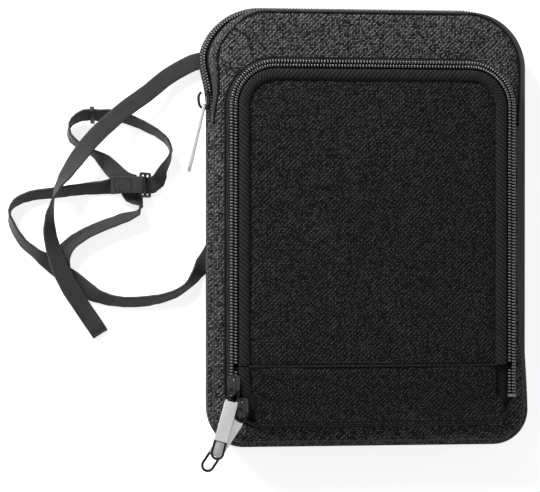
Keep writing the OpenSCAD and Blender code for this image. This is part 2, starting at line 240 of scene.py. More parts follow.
def wovenCloth(name, light, dark, pitch, rough=0.82, sheen=0.15, slant=0.35, depth=0.00012, sizes=(1, 1), speck=0.45):
    # plain weave on the cloth's own coordinates in mm, with a faint slanting rib
    net = Net(name)
    u, v, w = net.split(net.cloth())
    u = net.math("DIVIDE", u, pitch * sizes[0])
    v = net.math("DIVIDE", v, pitch * sizes[1])
    cu, cv = net.math("FLOOR", u), net.math("FLOOR", v)
    fu, fv = net.math("FRACT", u), net.math("FRACT", v)
    hu = net.math("SINE", net.math("MULTIPLY", fu, math.pi))
    hv = net.math("SINE", net.math("MULTIPLY", fv, math.pi))
    over = net.math("PINGPONG", net.math("ADD", cu, cv), 1.0)
    warp = net.math("MULTIPLY", hu, net.math("MULTIPLY_ADD", hv, 0.5, 0.5))
    weft = net.math("MULTIPLY", hv, net.math("MULTIPLY_ADD", hu, 0.35, 0.5))
    height = net.math("ADD", net.math("MULTIPLY", warp, over),
                      net.math("MULTIPLY", weft, net.math("SUBTRACT", 1.0, over)))
    rib = net.math("SINE", net.math("MULTIPLY", net.math("SUBTRACT", u, v), math.tau / 3))
    rib = net.math("MULTIPLY_ADD", rib, slant / 2, 1 - slant / 2)
    thread = net.chance(net.join(cu, cv, 0.5))
    patch = net.noise(net.place(), 260, 3, 0.6)
    broad = net.noise(net.place(), 38, 2, 0.5)
    tone = net.math("POWER", net.math("MULTIPLY", height, rib), 2.2)
    tone = net.math("MULTIPLY", tone, net.ramp(thread, 1 - speck, 1 + speck, 0.15, 0.85))
    tone = net.math("MULTIPLY", tone, net.ramp(patch, 0.75, 1.25, 0.3, 0.7))
    tone = net.math("MULTIPLY", tone, net.ramp(broad, 0.88, 1.12, 0.3, 0.7))
    net.put(net.shader.inputs["Base Color"], net.mix(tone, grey(dark), grey(light, 0.012)))
    net.put(net.shader.inputs["Roughness"], net.ramp(height, rough + 0.1, rough - 0.06))
    net.shader.inputs["Sheen Weight"].default_value = sheen
    net.shader.inputs["Sheen Roughness"].default_value = 0.45
    net.shader.inputs["Specular IOR Level"].default_value = 0.12
    fluff = net.math("MULTIPLY_ADD", net.noise(net.place(), 1900, 2, 0.6), 0.5, net.math("MULTIPLY", height, rib))
    net.bump(fluff, depth)
    return net.material


def ribbedCloth(name, light, dark):
    # slanting ribs along the band, with a fine thread on each
    net = Net(name)
    along, around, side = net.split(net.cloth())
    phase = net.math("DIVIDE", net.math("SUBTRACT", along, net.math("MULTIPLY", around, 0.8)), 2.2)
    rib = net.math("ABSOLUTE", net.math("SINE", net.math("MULTIPLY", phase, math.pi)))
    fine = net.math("SINE", net.math("MULTIPLY", net.math("ADD", along, around), 9.0))
    patch = net.noise(net.place(), 420, 3, 0.6)
    tone = net.math("MULTIPLY", net.math("POWER", rib, 2.2), net.ramp(patch, 0.6, 1.3, 0.3, 0.7))
    tone = net.math("MULTIPLY", tone, net.math("MULTIPLY_ADD", fine, 0.15, 0.85))
    net.put(net.shader.inputs["Base Color"], net.mix(tone, grey(dark), grey(light)))
    net.shader.inputs["Roughness"].default_value = 0.75
    net.shader.inputs["Sheen Weight"].default_value = 0.02
    net.shader.inputs["Specular IOR Level"].default_value = 0.2
    net.bump(net.math("ADD", rib, net.math("MULTIPLY", fine, 0.1)), 0.0003)
    return net.material


def strapCloth(name, light, dark):
    # narrow webbing: fine ribs across, a paler dotted line of loops along each edge
    net = Net(name)
    along, around, side = net.split(net.cloth())
    rib = net.math("SINE", net.math("MULTIPLY", along, math.pi / 0.34))
    cross = net.math("SINE", net.math("MULTIPLY", around, math.pi / 0.42))
    twill = net.math("SINE", net.math("MULTIPLY", net.math("ADD", along, around), math.pi / 0.62))
    height = net.math("ADD", net.math("MULTIPLY_ADD", rib, 0.25, 0.5),
                      net.math("MULTIPLY_ADD", cross, 0.12, net.math("MULTIPLY", twill, 0.16)))
    edge = net.ramp(net.math("ABSOLUTE", side), 0.0, 1.0, 0.8, 0.92)
    loops = net.math("MULTIPLY", edge, net.ramp(net.math("SINE", net.math("MULTIPLY", along, math.pi / 0.7)), 0.0, 1.0, -0.3, 0.6))
    patch = net.noise(net.place(), 300, 3, 0.6)
    tone = net.math("MULTIPLY", height, net.ramp(patch, 0.7, 1.3, 0.3, 0.7))
    tone = net.math("ADD", tone, net.math("MULTIPLY", loops, 0.75))
    net.put(net.shader.inputs["Base Color"], net.mix(tone, grey(dark), grey(light, 0.01)))
    net.shader.inputs["Roughness"].default_value = 0.72
    net.shader.inputs["Sheen Weight"].default_value = 0.25
    net.shader.inputs["Sheen Roughness"].default_value = 0.4
    net.bump(net.math("ADD", height, net.math("MULTIPLY", loops, 0.5)), 0.00014)
    return net.material


def meshCloth(name, light, dark):
    # spacer mesh: rows of small round holes, every other row shifted
    net = Net(name)
    u, v, w = net.split(net.cloth())
    row = net.math("FLOOR", net.math("DIVIDE", v, 1.6))
    shift = net.math("MULTIPLY", net.math("PINGPONG", row, 1.0), 0.5)
    fu = net.math("SUBTRACT", net.math("FRACT", net.math("ADD", net.math("DIVIDE", u, 1.9), shift)), 0.5)
    fv = net.math("SUBTRACT", net.math("FRACT", net.math("DIVIDE", v, 1.6)), 0.5)
    far = net.math("SQRT", net.math("ADD", net.math("MULTIPLY", fu, fu), net.math("MULTIPLY", fv, fv)))
    hole = net.ramp(far, 0.0, 1.0, 0.2, 0.34)
    net.put(net.shader.inputs["Base Color"], net.mix(hole, grey(dark), grey(light)))
    net.shader.inputs["Roughness"].default_value = 0.9
    net.shader.inputs["Sheen Weight"].default_value = 0.3
    net.bump(hole, 0.0004)
    return net.material


def metal(name, colour, rough, scratches=0.0, grain=0.0):
    net = Net(name)
    wear = net.noise(net.place(), 900, 4, 0.7)
    streak = net.noise(net.join(*[net.math("MULTIPLY", part, factor) for part, factor in
                                  zip(net.split(net.place()), (9000, 700, 9000))]), 1.0, 2, 0.6)
    net.put(net.shader.inputs["Base Color"],
            net.mix(wear, grey(colour * 0.85), grey(min(colour * 1.15, 0.95), 0.006)))
    net.shader.inputs["Metallic"].default_value = 1.0
    net.put(net.shader.inputs["Roughness"],
            net.math("ADD", net.ramp(wear, rough - 0.05, rough + 0.09, 0.3, 0.7), net.math("MULTIPLY", streak, grain)))
    net.bump(net.math("ADD", wear, net.math("MULTIPLY", streak, 0.6)), 0.00002 + scratches)
    return net.material


def enamel(name, colour, rough):
    # black lacquer under a clear coat
    net = Net(name)
    wear = net.noise(net.place(), 700, 3, 0.6)
    net.put(net.shader.inputs["Base Color"], net.mix(wear, grey(colour * 0.6), grey(colour * 1.6)))
    net.put(net.shader.inputs["Roughness"], net.ramp(wear, rough - 0.04, rough + 0.08, 0.3, 0.7))
    net.shader.inputs["Specular IOR Level"].default_value = 0.35
    net.shader.inputs["Coat Weight"].default_value = 0.3
    net.shader.inputs["Coat Roughness"].default_value = 0.16
    net.bump(wear, 0.00003)
    return net.material


def moulded(name, colour, rough):
    net = Net(name)
    grain = net.noise(net.place(), 3200, 2, 0.6)
    cloud = net.noise(net.place(), 180, 2, 0.5)
    net.put(net.shader.inputs["Base Color"], net.mix(cloud, grey(colour * 0.8), grey(colour * 1.25)))
    net.put(net.shader.inputs["Roughness"], net.ramp(grain, rough - 0.06, rough + 0.08, 0.3, 0.7))
    net.shader.inputs["Specular IOR Level"].default_value = 0.5
    net.bump(grain, 0.00003)
    return net.material


paint = {
    "shell": wovenCloth("shellCloth", 0.4, 0.001, 0.74, slant=0.5, sheen=0.02, speck=0.85),
    "panel": wovenCloth("panelCloth", 0.12, 0.0004, 0.7, slant=0.6, sheen=0.004, speck=0.9),
    "ribbed": ribbedCloth("ribbedCloth", 0.036, 0.0004),
    "edge": wovenCloth("foldedEdge", 0.085, 0.01, 0.5, slant=0.1, sheen=0.03),
    "lining": wovenCloth("liningCloth", 0.06, 0.02, 0.3, rough=0.6, slant=0.1, sheen=0.05),
    "tape": wovenCloth("zipTape", 0.02, 0.003, 0.45, slant=0.1, sheen=0.04, sizes=(2, 1)),
    "mesh": meshCloth("spacerMesh", 0.045, 0.004),
    "webbing": strapCloth("strapWebbing", 0.044, 0.003),
    "coil": metal("darkCoil", 0.14, 0.28),
    "slider": enamel("blackEnamel", 0.003, 0.2),
    "tab": metal("satinTab", 0.5, 0.36, grain=0.12),
    # dark edge metal of the tabs; on the main pull it is also painted shade, on the face turned away from the key lamp
    "rim": metal("tabEdgeAndShadedSide", 0.02, 0.25),
    "plastic": moulded("blackPlastic", 0.014, 0.38),
    "thread": wovenCloth("sewingThread", 0.09, 0.02, 0.25, slant=0.2),
}
print("finishes are mixed")

# ---- mesh helpers; all sizes in mm until a piece is finished ----


def finish(name, bm, skins, body="pouch", replaces=(), smooth=True):
    bmesh.ops.scale(bm, vec=(mm, mm, mm), verts=bm.verts)
    mesh = bpy.data.meshes.new(name)
    bm.to_mesh(mesh)
    bm.free()
    for skin in skins if isinstance(skins, (list, tuple)) else [skins]:
        mesh.materials.append(paint[skin])
    mesh.polygons.foreach_set("use_smooth", [smooth] * len(mesh.polygons))
    piece = bpy.data.objects.new(name, mesh)
    bpy.context.collection.objects.link(piece)
    if body:
        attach(piece, body)
    if replaces:
        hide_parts(*replaces)
    return piece


def loft(rings, marks, loop=False, points=False):
    # extrudes the first ring through the others; marks are the cloth coordinates
    bm = bmesh.new()
    weave = bm.verts.layers.float_vector.new("weave")
    number = bm.verts.layers.int.new("number")
    count = len(rings[0])
    first = [bm.verts.new(spot) for spot in rings[0]]
    for i, vert in enumerate(first):
        vert[number] = i
        vert[weave] = marks[0][i]
    edges = [bm.edges.new((first[i], first[(i + 1) % count])) for i in range(count)]
    startEdges = edges
    for ring, mark in zip(rings[1:], marks[1:]):
        made = bmesh.ops.extrude_edge_only(bm, edges=edges)["geom"]
        fresh = [item for item in made if isinstance(item, bmesh.types.BMVert)]
        known = set(fresh)
        for vert in fresh:
            vert.co = ring[vert[number]]
            vert[weave] = mark[vert[number]]
        edges = [item for item in made if isinstance(item, bmesh.types.BMEdge)
                 and item.verts[0] in known and item.verts[1] in known]
    if loop:
        bmesh.ops.bridge_loops(bm, edges=startEdges + edges)
    elif points:
        for group, ring in ((startEdges, rings[0]), (edges, rings[-1])):
            verts = list({vert for edge in group for vert in edge.verts})
            bmesh.ops.pointmerge(bm, verts=verts, merge_co=sum(ring, Vector()) / count)
    else:
        bmesh.ops.contextual_create(bm, geom=startEdges)
        bmesh.ops.contextual_create(bm, geom=edges)
    bm.verts.layers.int.remove(number)
    bmesh.ops.recalc_face_normals(bm, faces=bm.faces)
    return bm


def sweep(track, section, loop=False):
    # track: (point, sideways, upwards, distance); section: list or function of distance
    rings, marks = [], []
    for spot, out, up, s in track:
        shape = section(s) if callable(section) else section
        rings.append([spot + out * a + up * b for a, b in shape])
        far, row = 0.0, []
        for i, (a, b) in enumerate(shape):
            if i:
                far += math.dist(shape[i - 1], (a, b))
            row.append(Vector((s, far, 0)))
        marks.append(row)
    return loft(rings, marks, loop)


def outline(box, topRadius, bottomRadius, step=3.0):
    # points round a box's outline from the middle of its bottom, with outward normals
    (x0, y0), (x1, y1) = box
    corners = [(x1 - bottomRadius, y0 + bottomRadius, bottomRadius, -90), (x1 - topRadius, y1 - topRadius, topRadius, 0),
               (x0 + topRadius, y1 - topRadius, topRadius, 90), (x0 + bottomRadius, y0 + bottomRadius, bottomRadius, 180)]
    stations = [(Vector(((x0 + x1) / 2, y0, 0)), Vector((0, -1, 0)))]

    def line(to, normal):
        start = stations[-1][0]
        count = max(1, round((to - start).length / step))
        stations.extend((start.lerp(to, i / count), normal) for i in range(1, count + 1))

    for cx, cy, radius, angle in corners:
        count = max(4, round(radius * math.pi / 2 / step * 1.4))
        for i in range(count + 1):
            turn = math.radians(angle + 90 * i / count)
            normal = Vector((math.cos(turn), math.sin(turn), 0))
            spot = Vector((cx, cy, 0)) + normal * radius
            if i == 0:
                line(spot, normal)
            else:
                stations.append((spot, normal))
    line(stations[0][0], Vector((0, -1, 0)))
    stations.pop()
    return stations


def measured(stations):
    track, s = [], 0.0
    for i, (spot, normal) in enumerate(stations):
        if i:
            s += (spot - stations[i - 1][0]).length
        track.append((spot, normal, zUp, s))
    return track


def between(stations, keep, ends):
    # the run of stations for which keep is true, ending at the given heights
    count = len(stations)
    start = next(i for i in range(count) if keep(stations[i][0]) and not keep(stations[i - 1][0]))
    run = []
    for i in range(count):
        spot, normal = stations[(start + i) % count]
        if not keep(spot):
            break
        run.append((spot, normal))
    for index, height in ((0, ends[0]), (-1, ends[1])):
        spot, normal = run[index]
        if abs(spot.y - height) > 0.05:
            extra = (Vector((spot.x, height, 0)), normal)
            run = [extra] + run if index == 0 else run + [extra]
    return run


def spread(track, pitch, offset=0.0):
    # evenly spaced places along a track
    total = track[-1][3]
    spots, i = [], 0
    count = int((total - offset) / pitch)
    for k in range(count + 1):
        s = offset + k * pitch
        while i < len(track) - 2 and track[i + 1][3] < s:
            i += 1
        a, b = track[i], track[i + 1]
        t = (s - a[3]) / max(b[3] - a[3], 1e-6)
        spots.append((a[0].lerp(b[0], t), a[1].lerp(b[1], t).normalized(), a[2].lerp(b[2], t).normalized(), s))
    return spots


def grain(place, size, seed=0.0):
    return noise.noise(Vector((place[0] / size, place[1] / size, seed)))


def scatter(places, template):
    # copies of a small shape at many matrices, as one mesh
    bm = bmesh.new()
    weave = bm.verts.layers.float_vector.new("weave")
    small = bpy.data.meshes.new("template")
    template.to_mesh(small)
    template.free()
    count = 0
    for place in places:
        bm.from_mesh(small)
        bm.verts.ensure_lookup_table()
        fresh = bm.verts[count:]
        bmesh.ops.transform(bm, matrix=place, verts=fresh)
        for vert in fresh:
            vert[weave] = vert.co
        count += len(fresh)
    bpy.data.meshes.remove(small)
    return bm


def bar(length, width, height, power=0.6, segments=8, rings=5):
    # a small rounded bar
    bm = bmesh.new()
    bmesh.ops.create_uvsphere(bm, u_segments=segments, v_segments=rings, radius=1)
    for vert in bm.verts:
        vert.co = Vector([math.copysign(abs(c) ** power, c) for c in vert.co])
        vert.co.x *= length / 2
        vert.co.y *= width / 2
        vert.co.z *= height / 2
    return bm


def facing(spot, along, up):
    along = along.normalized()
    side = up.cross(along).normalized()
    turn = Matrix((along, side, along.cross(side))).transposed().to_4x4()
    return Matrix.Translation(spot) @ turn


def block(size, centre, softness, segments=2):
    bm = bmesh.new()
    bmesh.ops.create_cube(bm, size=1)
    bmesh.ops.scale(bm, vec=size, verts=bm.verts)
    bmesh.ops.bevel(bm, geom=bm.edges[:], offset=softness, segments=segments, affect="EDGES", profile=0.5, material=-1)
    bmesh.ops.translate(bm, vec=centre, verts=bm.verts)
    return bm


def together(parts):
    bm = bmesh.new()
    for part in parts:
        small = bpy.data.meshes.new("part")
        part.to_mesh(small)
        part.free()
        bm.from_mesh(small)
        bpy.data.meshes.remove(small)
    return bm


def plate(outlines, thickness, softness, centre=(0, 0, 0)):
    # a flat plate with holes and softened edges, cut from drawn outlines
    curve = bpy.data.curves.new("plate", "CURVE")
    curve.dimensions = "2D"
    curve.fill_mode = "BOTH"
    curve.extrude = thickness / 2 - softness
    curve.bevel_depth = softness
    curve.bevel_resolution = 2
    curve.offset = -softness
    for spots in outlines:
        spline = curve.splines.new("POLY")
        spline.points.add(len(spots) - 1)
        for point, spot in zip(spline.points, spots):
            point.co = (spot[0], spot[1], 0, 1)
        spline.use_cyclic_u = True
    thing = bpy.data.objects.new("plate", curve)
    bpy.context.collection.objects.link(thing)
    graph = bpy.context.evaluated_depsgraph_get()
    mesh = bpy.data.meshes.new_from_object(thing.evaluated_get(graph))
    bm = bmesh.new()
    bm.from_mesh(mesh)
    bmesh.ops.remove_doubles(bm, verts=bm.verts, dist=0.0005)
    bmesh.ops.recalc_face_normals(bm, faces=bm.faces)
    bmesh.ops.translate(bm, vec=centre, verts=bm.verts)
    for face in bm.faces:
        face.material_index = 0
    bpy.data.objects.remove(thing)
    bpy.data.curves.remove(curve)
    bpy.data.meshes.remove(mesh)
    return bm


def arc(cx, cy, radius, start, end, steps):
    return [(cx + radius * math.cos(math.radians(start + (end - start) * i / steps)),
             cy + radius * math.sin(math.radians(start + (end - start) * i / steps))) for i in range(steps + 1)]


def flat(node):
    low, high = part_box(node)
    return Vector(low) / mm, Vector(high) / mm


# ---- the strap comes first ----

strap = {"width": 8.0, "thickness": 1.2, "step": 2.4}
shortRoute = [
    (-77, 79, 4.6, 0), (-82, 77.8, 4.6, 0), (-94, 71, 5, 0), (-103.5, 63, 7.4, 0),
    (-113.5, 55.5, 9.4, 0), (-122, 48, 10.6, 2), (-129.5, 40.5, 11, 6), (-135.5, 33, 10.8, 18),
    (-141, 25, 11.8, 42), (-145, 18.5, 12.6, 68), (-147.5, 12, 12.8, 90), (-149, 5, 12, 112),
    (-149, -3, 11, 132), (-147, -12, 10, 146), (-143, -23, 9, 160), (-137, -33.5, 6.6, 172),
    (-131, -43, 4, 180), (-127, -49, 3.2, 180), (-126, -50.6, 2, 180), (-127, -49, 0.8, 0),
    (-132, -41.5, 1.6, 0), (-137, -34, 4, 0), (-141, -27.5, 4.4, 0), (-143.5, -20.5, 4.6, 0),
    (-143.5, -13.5, 5.6, -8), (-139.5, -8, 4.8, -44), (-130, -2, 4.4, -52),
    (-115, 4, 4.4, -56), (-108, 6.5, 4.8, -74), (-106.5, 9.5, 4.8, -96), (-108.3, 12.2, 4.4, -135),
    (-110.5, 14.5, 3.9, -177), (-112.6, 17.5, 3.9, -180)]
longRoute = [
    (70, 66, 0.8, 0), (70, 76, 0.8, 0), (63.5, 90, 0.8, 0), (48, 97, 0.8, 0), (-48, 97, 0.8, 0),
    (-63.5, 90, 0.8, 0), (-70, 76, 0.8, 0), (-70, 4, 0.8, 0), (-71, -7, 0.8, 0),
    (-74, -13.5, 0.8, 0), (-77.2, -18, 1.5, -10), (-80, -22.5, 3.4, -48),
    (-85, -28.5, 4.2, -68), (-93, -33, 4, -62), (-105.5, -35.5, 3.8, -54), (-117, -35.5, 3.7, -54),
    (-125.5, -33.5, 3.4, -44), (-131.5, -30.5, 2, -14), (-138, -25.5, 1.2, -4), (-144, -21.5, 1.2, -4),
    (-150.5, -16.5, 2.6, -26), (-156, -12.5, 4, -56), (-162, -7.5, 4, -60), (-167, 1, 4.2, -68),
    (-168, 7.5, 4.4, -90), (-165, 11.5, 4.2, -110), (-158, 14.5, 4, -120), (-146.5, 16, 3.9, -124),
    (-135.5, 17.5, 3.8, -126), (-125, 18.5, 3.4, -136), (-117.5, 19.5, 2.4, -168),
    (-112, 19.7, 2.1, -180), (-101.5, 19.7, 2.1, -180), (-98.6, 21.6, 2.8, -152),
    (-96.8, 26.2, 4, -122), (-94, 31, 4.4, -106), (-92.4, 36, 4.4, -86), (-95.6, 41.8, 4.2, -74),
    (-103.8, 47, 4.1, -66), (-113, 51, 4, -60), (-120, 52.6, 4.4, -56), (-126, 52.5, 5.6, -55),
    (-133, 52.5, 5.6, -55), (-138, 50, 4.8, -72), (-140.5, 46, 4.6, -96), (-139, 41, 4.5, -110),
    (-133, 37, 4.5, -96), (-128, 34, 4.8, -112), (-123.5, 30.5, 5.8, -146),
    (-119, 26, 6.8, -180), (-114, 22, 6.8, -180), (-109.5, 20.5, 6.8, -180)]


def strapTrack(route):
    spots = [Vector(item[:3]) for item in route]
    last = len(spots) - 1
    widths = []
    for i in range(last + 1):
        run = spots[min(i + 1, last)] - spots[max(i - 1, 0)]
        level = Vector((run.x, run.y, 0))
        if level.length <= 0.5:
            back = spots[i] - spots[max(i - 1, 0)]
            level = Vector((back.x, back.y, 0))
        level.normalize()
        roll = math.radians(route[i][3])
        lean = math.cos(roll) * Vector((-level.y, level.x, 0)) + Vector((0, 0, math.sin(roll)))
        run.normalize()
        widths.append((lean - lean.dot(run) * run).normalized())
    centres, wide = [], []
    for i in range(last):
        a, b = spots[i], spots[i + 1]
        before, after = spots[max(i - 1, 0)], spots[min(i + 2, last)]
        length = (b - a).length
        tangentA = (b - before).normalized() * length if i else b - a
        tangentB = (after - a).normalized() * length if i < last - 1 else b - a
        count = max(1, round(length / strap["step"]))
        for k in range(count):
            t = k / count
            centres.append(a * (2 * t ** 3 - 3 * t ** 2 + 1) + tangentA * (t ** 3 - 2 * t ** 2 + t)
                           + b * (3 * t ** 2 - 2 * t ** 3) + tangentB * (t ** 3 - t ** 2))
            wide.append(widths[i].lerp(widths[i + 1], t * t * (3 - 2 * t)))
    centres.append(spots[-1])
    wide.append(widths[-1])
    track, s = [], 0.0
    for i, spot in enumerate(centres):
        run = (centres[min(i + 1, len(centres) - 1)] - centres[max(i - 1, 0)]).normalized()
        across = (wide[i] - wide[i].dot(run) * run).normalized()
        if i:
            s += (spot - centres[i - 1]).length
        track.append((spot, across, run.cross(across).normalized(), s))
    return track


def ribbonSection(width, thickness):
    w, t, soft = width / 2, thickness / 2, 0.35
    top = [(w, 0.1 - 0.35 * t), (w, 0.35 * t), (w - soft * 0.4, t * 0.8), (w - soft * 1.6, t), (w / 2, t * 0.96), (0, t * 0.93),
           (-w / 2, t * 0.96), (soft * 1.6 - w, t), (soft * 0.4 - w, t * 0.8), (-w, 0.35 * t)]
    return top + [(-a, -b) for a, b in top]


def webbing(name, route, node):
    track = strapTrack(route)
    shape = ribbonSection(strap["width"], strap["thickness"])
    rings, marks = [], []
    for spot, across, up, s in track:
        wave = 0.12 * math.sin(s * 0.9) * math.sin(s * 0.13 + 1)
        rings.append([spot + across * a * (1 + 0.006 * math.sin(s * 1.7)) + up * (b + wave * (abs(a) > 3)) for a, b in shape])
        marks.append([Vector((s, a + (20 if i >= 10 else 0), a / (strap["width"] / 2))) for i, (a, b) in enumerate(shape)])
    piece = finish(name, loft(rings, marks), "webbing", replaces=[node])
    return piece


def sewnPatch(name, node, thick, skin="webbing"):
    low, high = flat(node)
    size, middle = high - low, (high + low) / 2
    size = Vector([max(part, thick) for part in size])
    bm = block(size, middle, min(size) * 0.3)
    weave = bm.verts.layers.float_vector.new("weave")
    for vert in bm.verts:
        vert[weave] = Vector((vert.co.y, vert.co.x if size.x > size.z else vert.co.z, 0))
    return finish(name, bm, skin, replaces=[node])


adjuster = {"at": (-104.6, 19.7, 3.8), "tilt": 55, "step": 3.7, "width": 12.0, "bar": 1.2}


def adjusterPlace():
    return Matrix.Translation(adjuster["at"]) @ Matrix.Rotation(math.radians(adjuster["tilt"]), 4, "Y")


def makeAdjuster():
    half, reach, rod = adjuster["width"] / 2, adjuster["step"] + 0.55, adjuster["bar"]
    outer = arc(reach - 1, half - 1, 1, 0, 90, 5) + arc(1 - reach, half - 1, 1, 90, 180, 5) \
        + arc(1 - reach, 1 - half, 1, 180, 270, 5) + arc(reach - 1, 1 - half, 1, 270, 360, 5)
    inner = half - 1.25
    slots = []
    for low, high in ((0.55, 3.15), (-3.15, -0.55)):
        slots.append([(low, inner), (high, inner), (high, -inner), (low, -inner)])
    bm = plate([outer] + slots, rod, 0.28)
    bmesh.ops.transform(bm, matrix=adjusterPlace(), verts=bm.verts)
    return finish("strapAdjuster", bm, "plastic", replaces=["strap_adjuster"])


def makeFold():
    # the strap's folded and sewn tail round the adjuster's bar
    place = Vector(adjuster["at"])
    tilt = math.radians(adjuster["tilt"])
    barX = place.x - adjuster["step"] * math.cos(tilt)
    barZ = place.z + adjuster["step"] * math.sin(tilt)
    middle = adjuster["bar"] / 2 + 0.4 + 0.5
    spots = [Vector((barX - 14, place.y, barZ + middle))]
    spots += [Vector((barX - 14 * (1 - i / 6), place.y, barZ + middle)) for i in range(1, 6)]
    spots += [Vector((barX + middle * math.sin(math.radians(a)), place.y, barZ + middle * math.cos(math.radians(a)))) for a in range(0, 181, 20)]
    spots += [Vector((barX - 14 * i / 6, place.y, barZ - middle)) for i in range(1, 7)]
    shape = ribbonSection(8.0, 1.0)
    rings, marks, s = [], [], 0.0
    for i, spot in enumerate(spots):
        run = (spots[min(i + 1, len(spots) - 1)] - spots[max(i - 1, 0)]).normalized()
        across = Vector((0, 1, 0))
        up = run.cross(across)
        s += (spot - spots[i - 1]).length if i else 0
        rings.append([spot + across * a + up * b for a, b in shape])
        marks.append([Vector((s, a + (20 if k >= 10 else 0), a / 4)) for k, (a, b) in enumerate(shape)])
    top = place.z + adjuster["step"] * math.sin(tilt) + middle + 0.52
    loop = []
    for a, b in (((-12.4, -2.8), (-4.6, -2.8)), ((-4.6, -2.8), (-4.6, 2.8)), ((-4.6, 2.8), (-12.4, 2.8)), ((-12.4, 2.8), (-12.4, -2.8)), ((-12.4, -2.8), (-4.6, 2.8))):
        count = 40
        loop.append([Vector((barX + a[0] + (b[0] - a[0]) * k / count, place.y + a[1] + (b[1] - a[1]) * k / count, top)) for k in range(count + 1)])
    places = []
    for line in loop:
        for k in range(3, len(line) - 3, 8):
            places.append(facing(line[k], (line[k + 1] - line[k]).normalized(), zUp))
    finish("strapStitches", scatter(places, bar(1.1, 0.3, 0.3, 0.4)), "thread")
    return finish("strapFold", loft(rings, marks), "webbing", replaces=["strap_fold"])


def makeKeeper():
    low, high = flat("strap_keeper")
    middle = (low + high) / 2
    outer = arc(4.4, 0.95, 0.55, 0, 90, 4) + arc(-4.4, 0.95, 0.55, 90, 180, 4) + arc(-4.4, -0.95, 0.55, 180, 270, 4) + arc(4.4, -0.95, 0.55, 270, 360, 4)
    hole = [(4.3, 0.9), (-4.3, 0.9), (-4.3, -0.9), (4.3, -0.9)]
    bm = plate([outer, hole[::-1]], 2.0, 0.25)
    turn = Matrix.Rotation(math.radians(55), 4, "X") @ Matrix(((0, 0, 1), (1, 0, 0), (0, 1, 0))).to_4x4()
    bmesh.ops.transform(bm, matrix=Matrix.Translation(middle) @ turn, verts=bm.verts)
    return finish("strapKeeper", bm, "plastic", replaces=["strap_keeper"])


buckle, foldedTail, keeper = makeAdjuster(), makeFold(), makeKeeper()
webbing("strapShort", shortRoute, "strap_short")
webbing("strapLong", longRoute, "strap_long")
sewnPatch("anchorLeft", "strap_anchor_left", 0.5)
sewnPatch("anchorRight", "strap_anchor_right", 0.5)
print("the strap lies beside the pouch")

# ---- outlines shared by the pouch's pieces ----

backLow, backHigh = flat("back_panel")
wallLow, wallHigh = flat("pocket_wall")
frontLow, frontHigh = flat("front_panel")
coilLow, coilHigh = flat("flap_coil")
pouchRim = outline(((backLow.x, backLow.y), (backHigh.x, backHigh.y)), 28, 16, 2.6)
pocketRim = outline(((wallLow.x, wallLow.y), (wallHigh.x, wallHigh.y)), 22, 16, 2.2)
zipEnd = flat("main_tape_rear")[0].y


def smooth(low, high, value):
    t = min(1.0, max(0.0, (value - low) / (high - low)))
    return t * t * (3 - 2 * t)


def sway(spot):
    # the stuffed top leans out on the left, and the right side is drawn in at the middle
    left = -3.9 * smooth(58, 84, spot.y)
    right = -3.2 * smooth(-96, -20, spot.y) + 1.2 * smooth(40, 75, spot.y)
    share = smooth(-70, 70, spot.x)
    return Vector((left * (1 - share) + right * share, 0, 0))


pouchRim = [(spot + sway(spot), normal) for spot, normal in pouchRim]
seamY = flat("flap_panel")[0].y - 0.5


def pouchEdge(y):
    return min((abs(spot.y - y), spot.x) for spot, normal in pouchRim if spot.x < 0)[1]


zipZ = (flat("main_slider")[0].z + flat("main_slider")[1].z) / 2


def moved(track, out, up):
    return [(spot + side * out + rise * up, side, rise, s) for spot, side, rise, s in track]


def shell(points, wall=1.1):
    # a wall's section from its outer points, given a thickness inwards
    inner = []
    for i, (a, b) in enumerate(points):
        before, after = points[max(i - 1, 0)], points[min(i + 1, len(points) - 1)]
        dx, dy = after[0] - before[0], after[1] - before[1]
        size = math.hypot(dx, dy)
        inner.append((a - wall * dy / size, b + wall * dx / size))
    return points + inner[::-1]


# ---- main compartment ----

gusset = {"seamInset": 6.9, "endInset": 2.2, "farInset": 2.6}
backZ, frontZ = backHigh.z, frontLow.z


def wrinkled(points, amount, seed):
    def section(s):
        result = []
        for a, b in points:
            push = amount * (noise.noise(Vector((s / 19, b / 9, seed))) + 0.5 * noise.noise(Vector((s / 6, b / 6, seed + 5))))
            result.append((a + push, b))
        return shell(result)
    return section


inset = gusset["seamInset"]


def seamDepth(spot, normal):
    # how far the front seam lies inside the outline: widest high on the left, where the band rolls over
    wide = gusset["farInset"] + (inset - gusset["farInset"]) * smooth(-0.15, 0.85, -normal.x)
    return gusset["endInset"] + (wide - gusset["endInset"]) * smooth(0, 31, spot.y - zipEnd)


lowerProfile = [(-0.6, backZ - 0.2), (0.3, backZ + 1.2), (0.8, 7), (1.0, 11), (0.9, 15), (0.5, 18.5), (-0.1, 21.0), (-0.9, 22.4), (-1.6, 23.0)]
rearProfile = [(-0.6, backZ - 0.2), (0.2, backZ + 1.2), (0.6, 6), (0.55, 8.2), (0.1, 9.6), (-0.6, 9.9)]
frontProfile = [(-4.0, 18.2), (-3.3, 18.3), (-2.9, 19.2), (-2.9, 20.6), (-3.3, 22.0), (-4.2, 23.5), (-5.4, 24.6), (-inset + 0.5, 25.1), (-inset, 24.4)]

lowerRun = measured(between(pouchRim, lambda p: p.y < zipEnd, (zipEnd, zipEnd)))
upperRun = measured(between(pouchRim, lambda p: p.y > zipEnd, (zipEnd, zipEnd)))
finish("gussetLower", sweep(lowerRun, wrinkled(lowerProfile, 0.45, 1)), "shell", replaces=["lower_gusset"])
finish("gussetRear", sweep(upperRun, wrinkled(rearProfile, 0.3, 2)), "shell", replaces=["rear_gusset_band"])
seamAlong = {s: seamDepth(spot, out) for spot, out, up, s in upperRun}


def frontBand(s):
    share = seamAlong[s] / inset
    push = 0.3 * noise.noise(Vector((s / 19, 0, 3))) + 0.14 * noise.noise(Vector((s / 6, 0, 8)))
    return shell([((a + push) * share, b) for a, b in frontProfile], 0.9 * share)


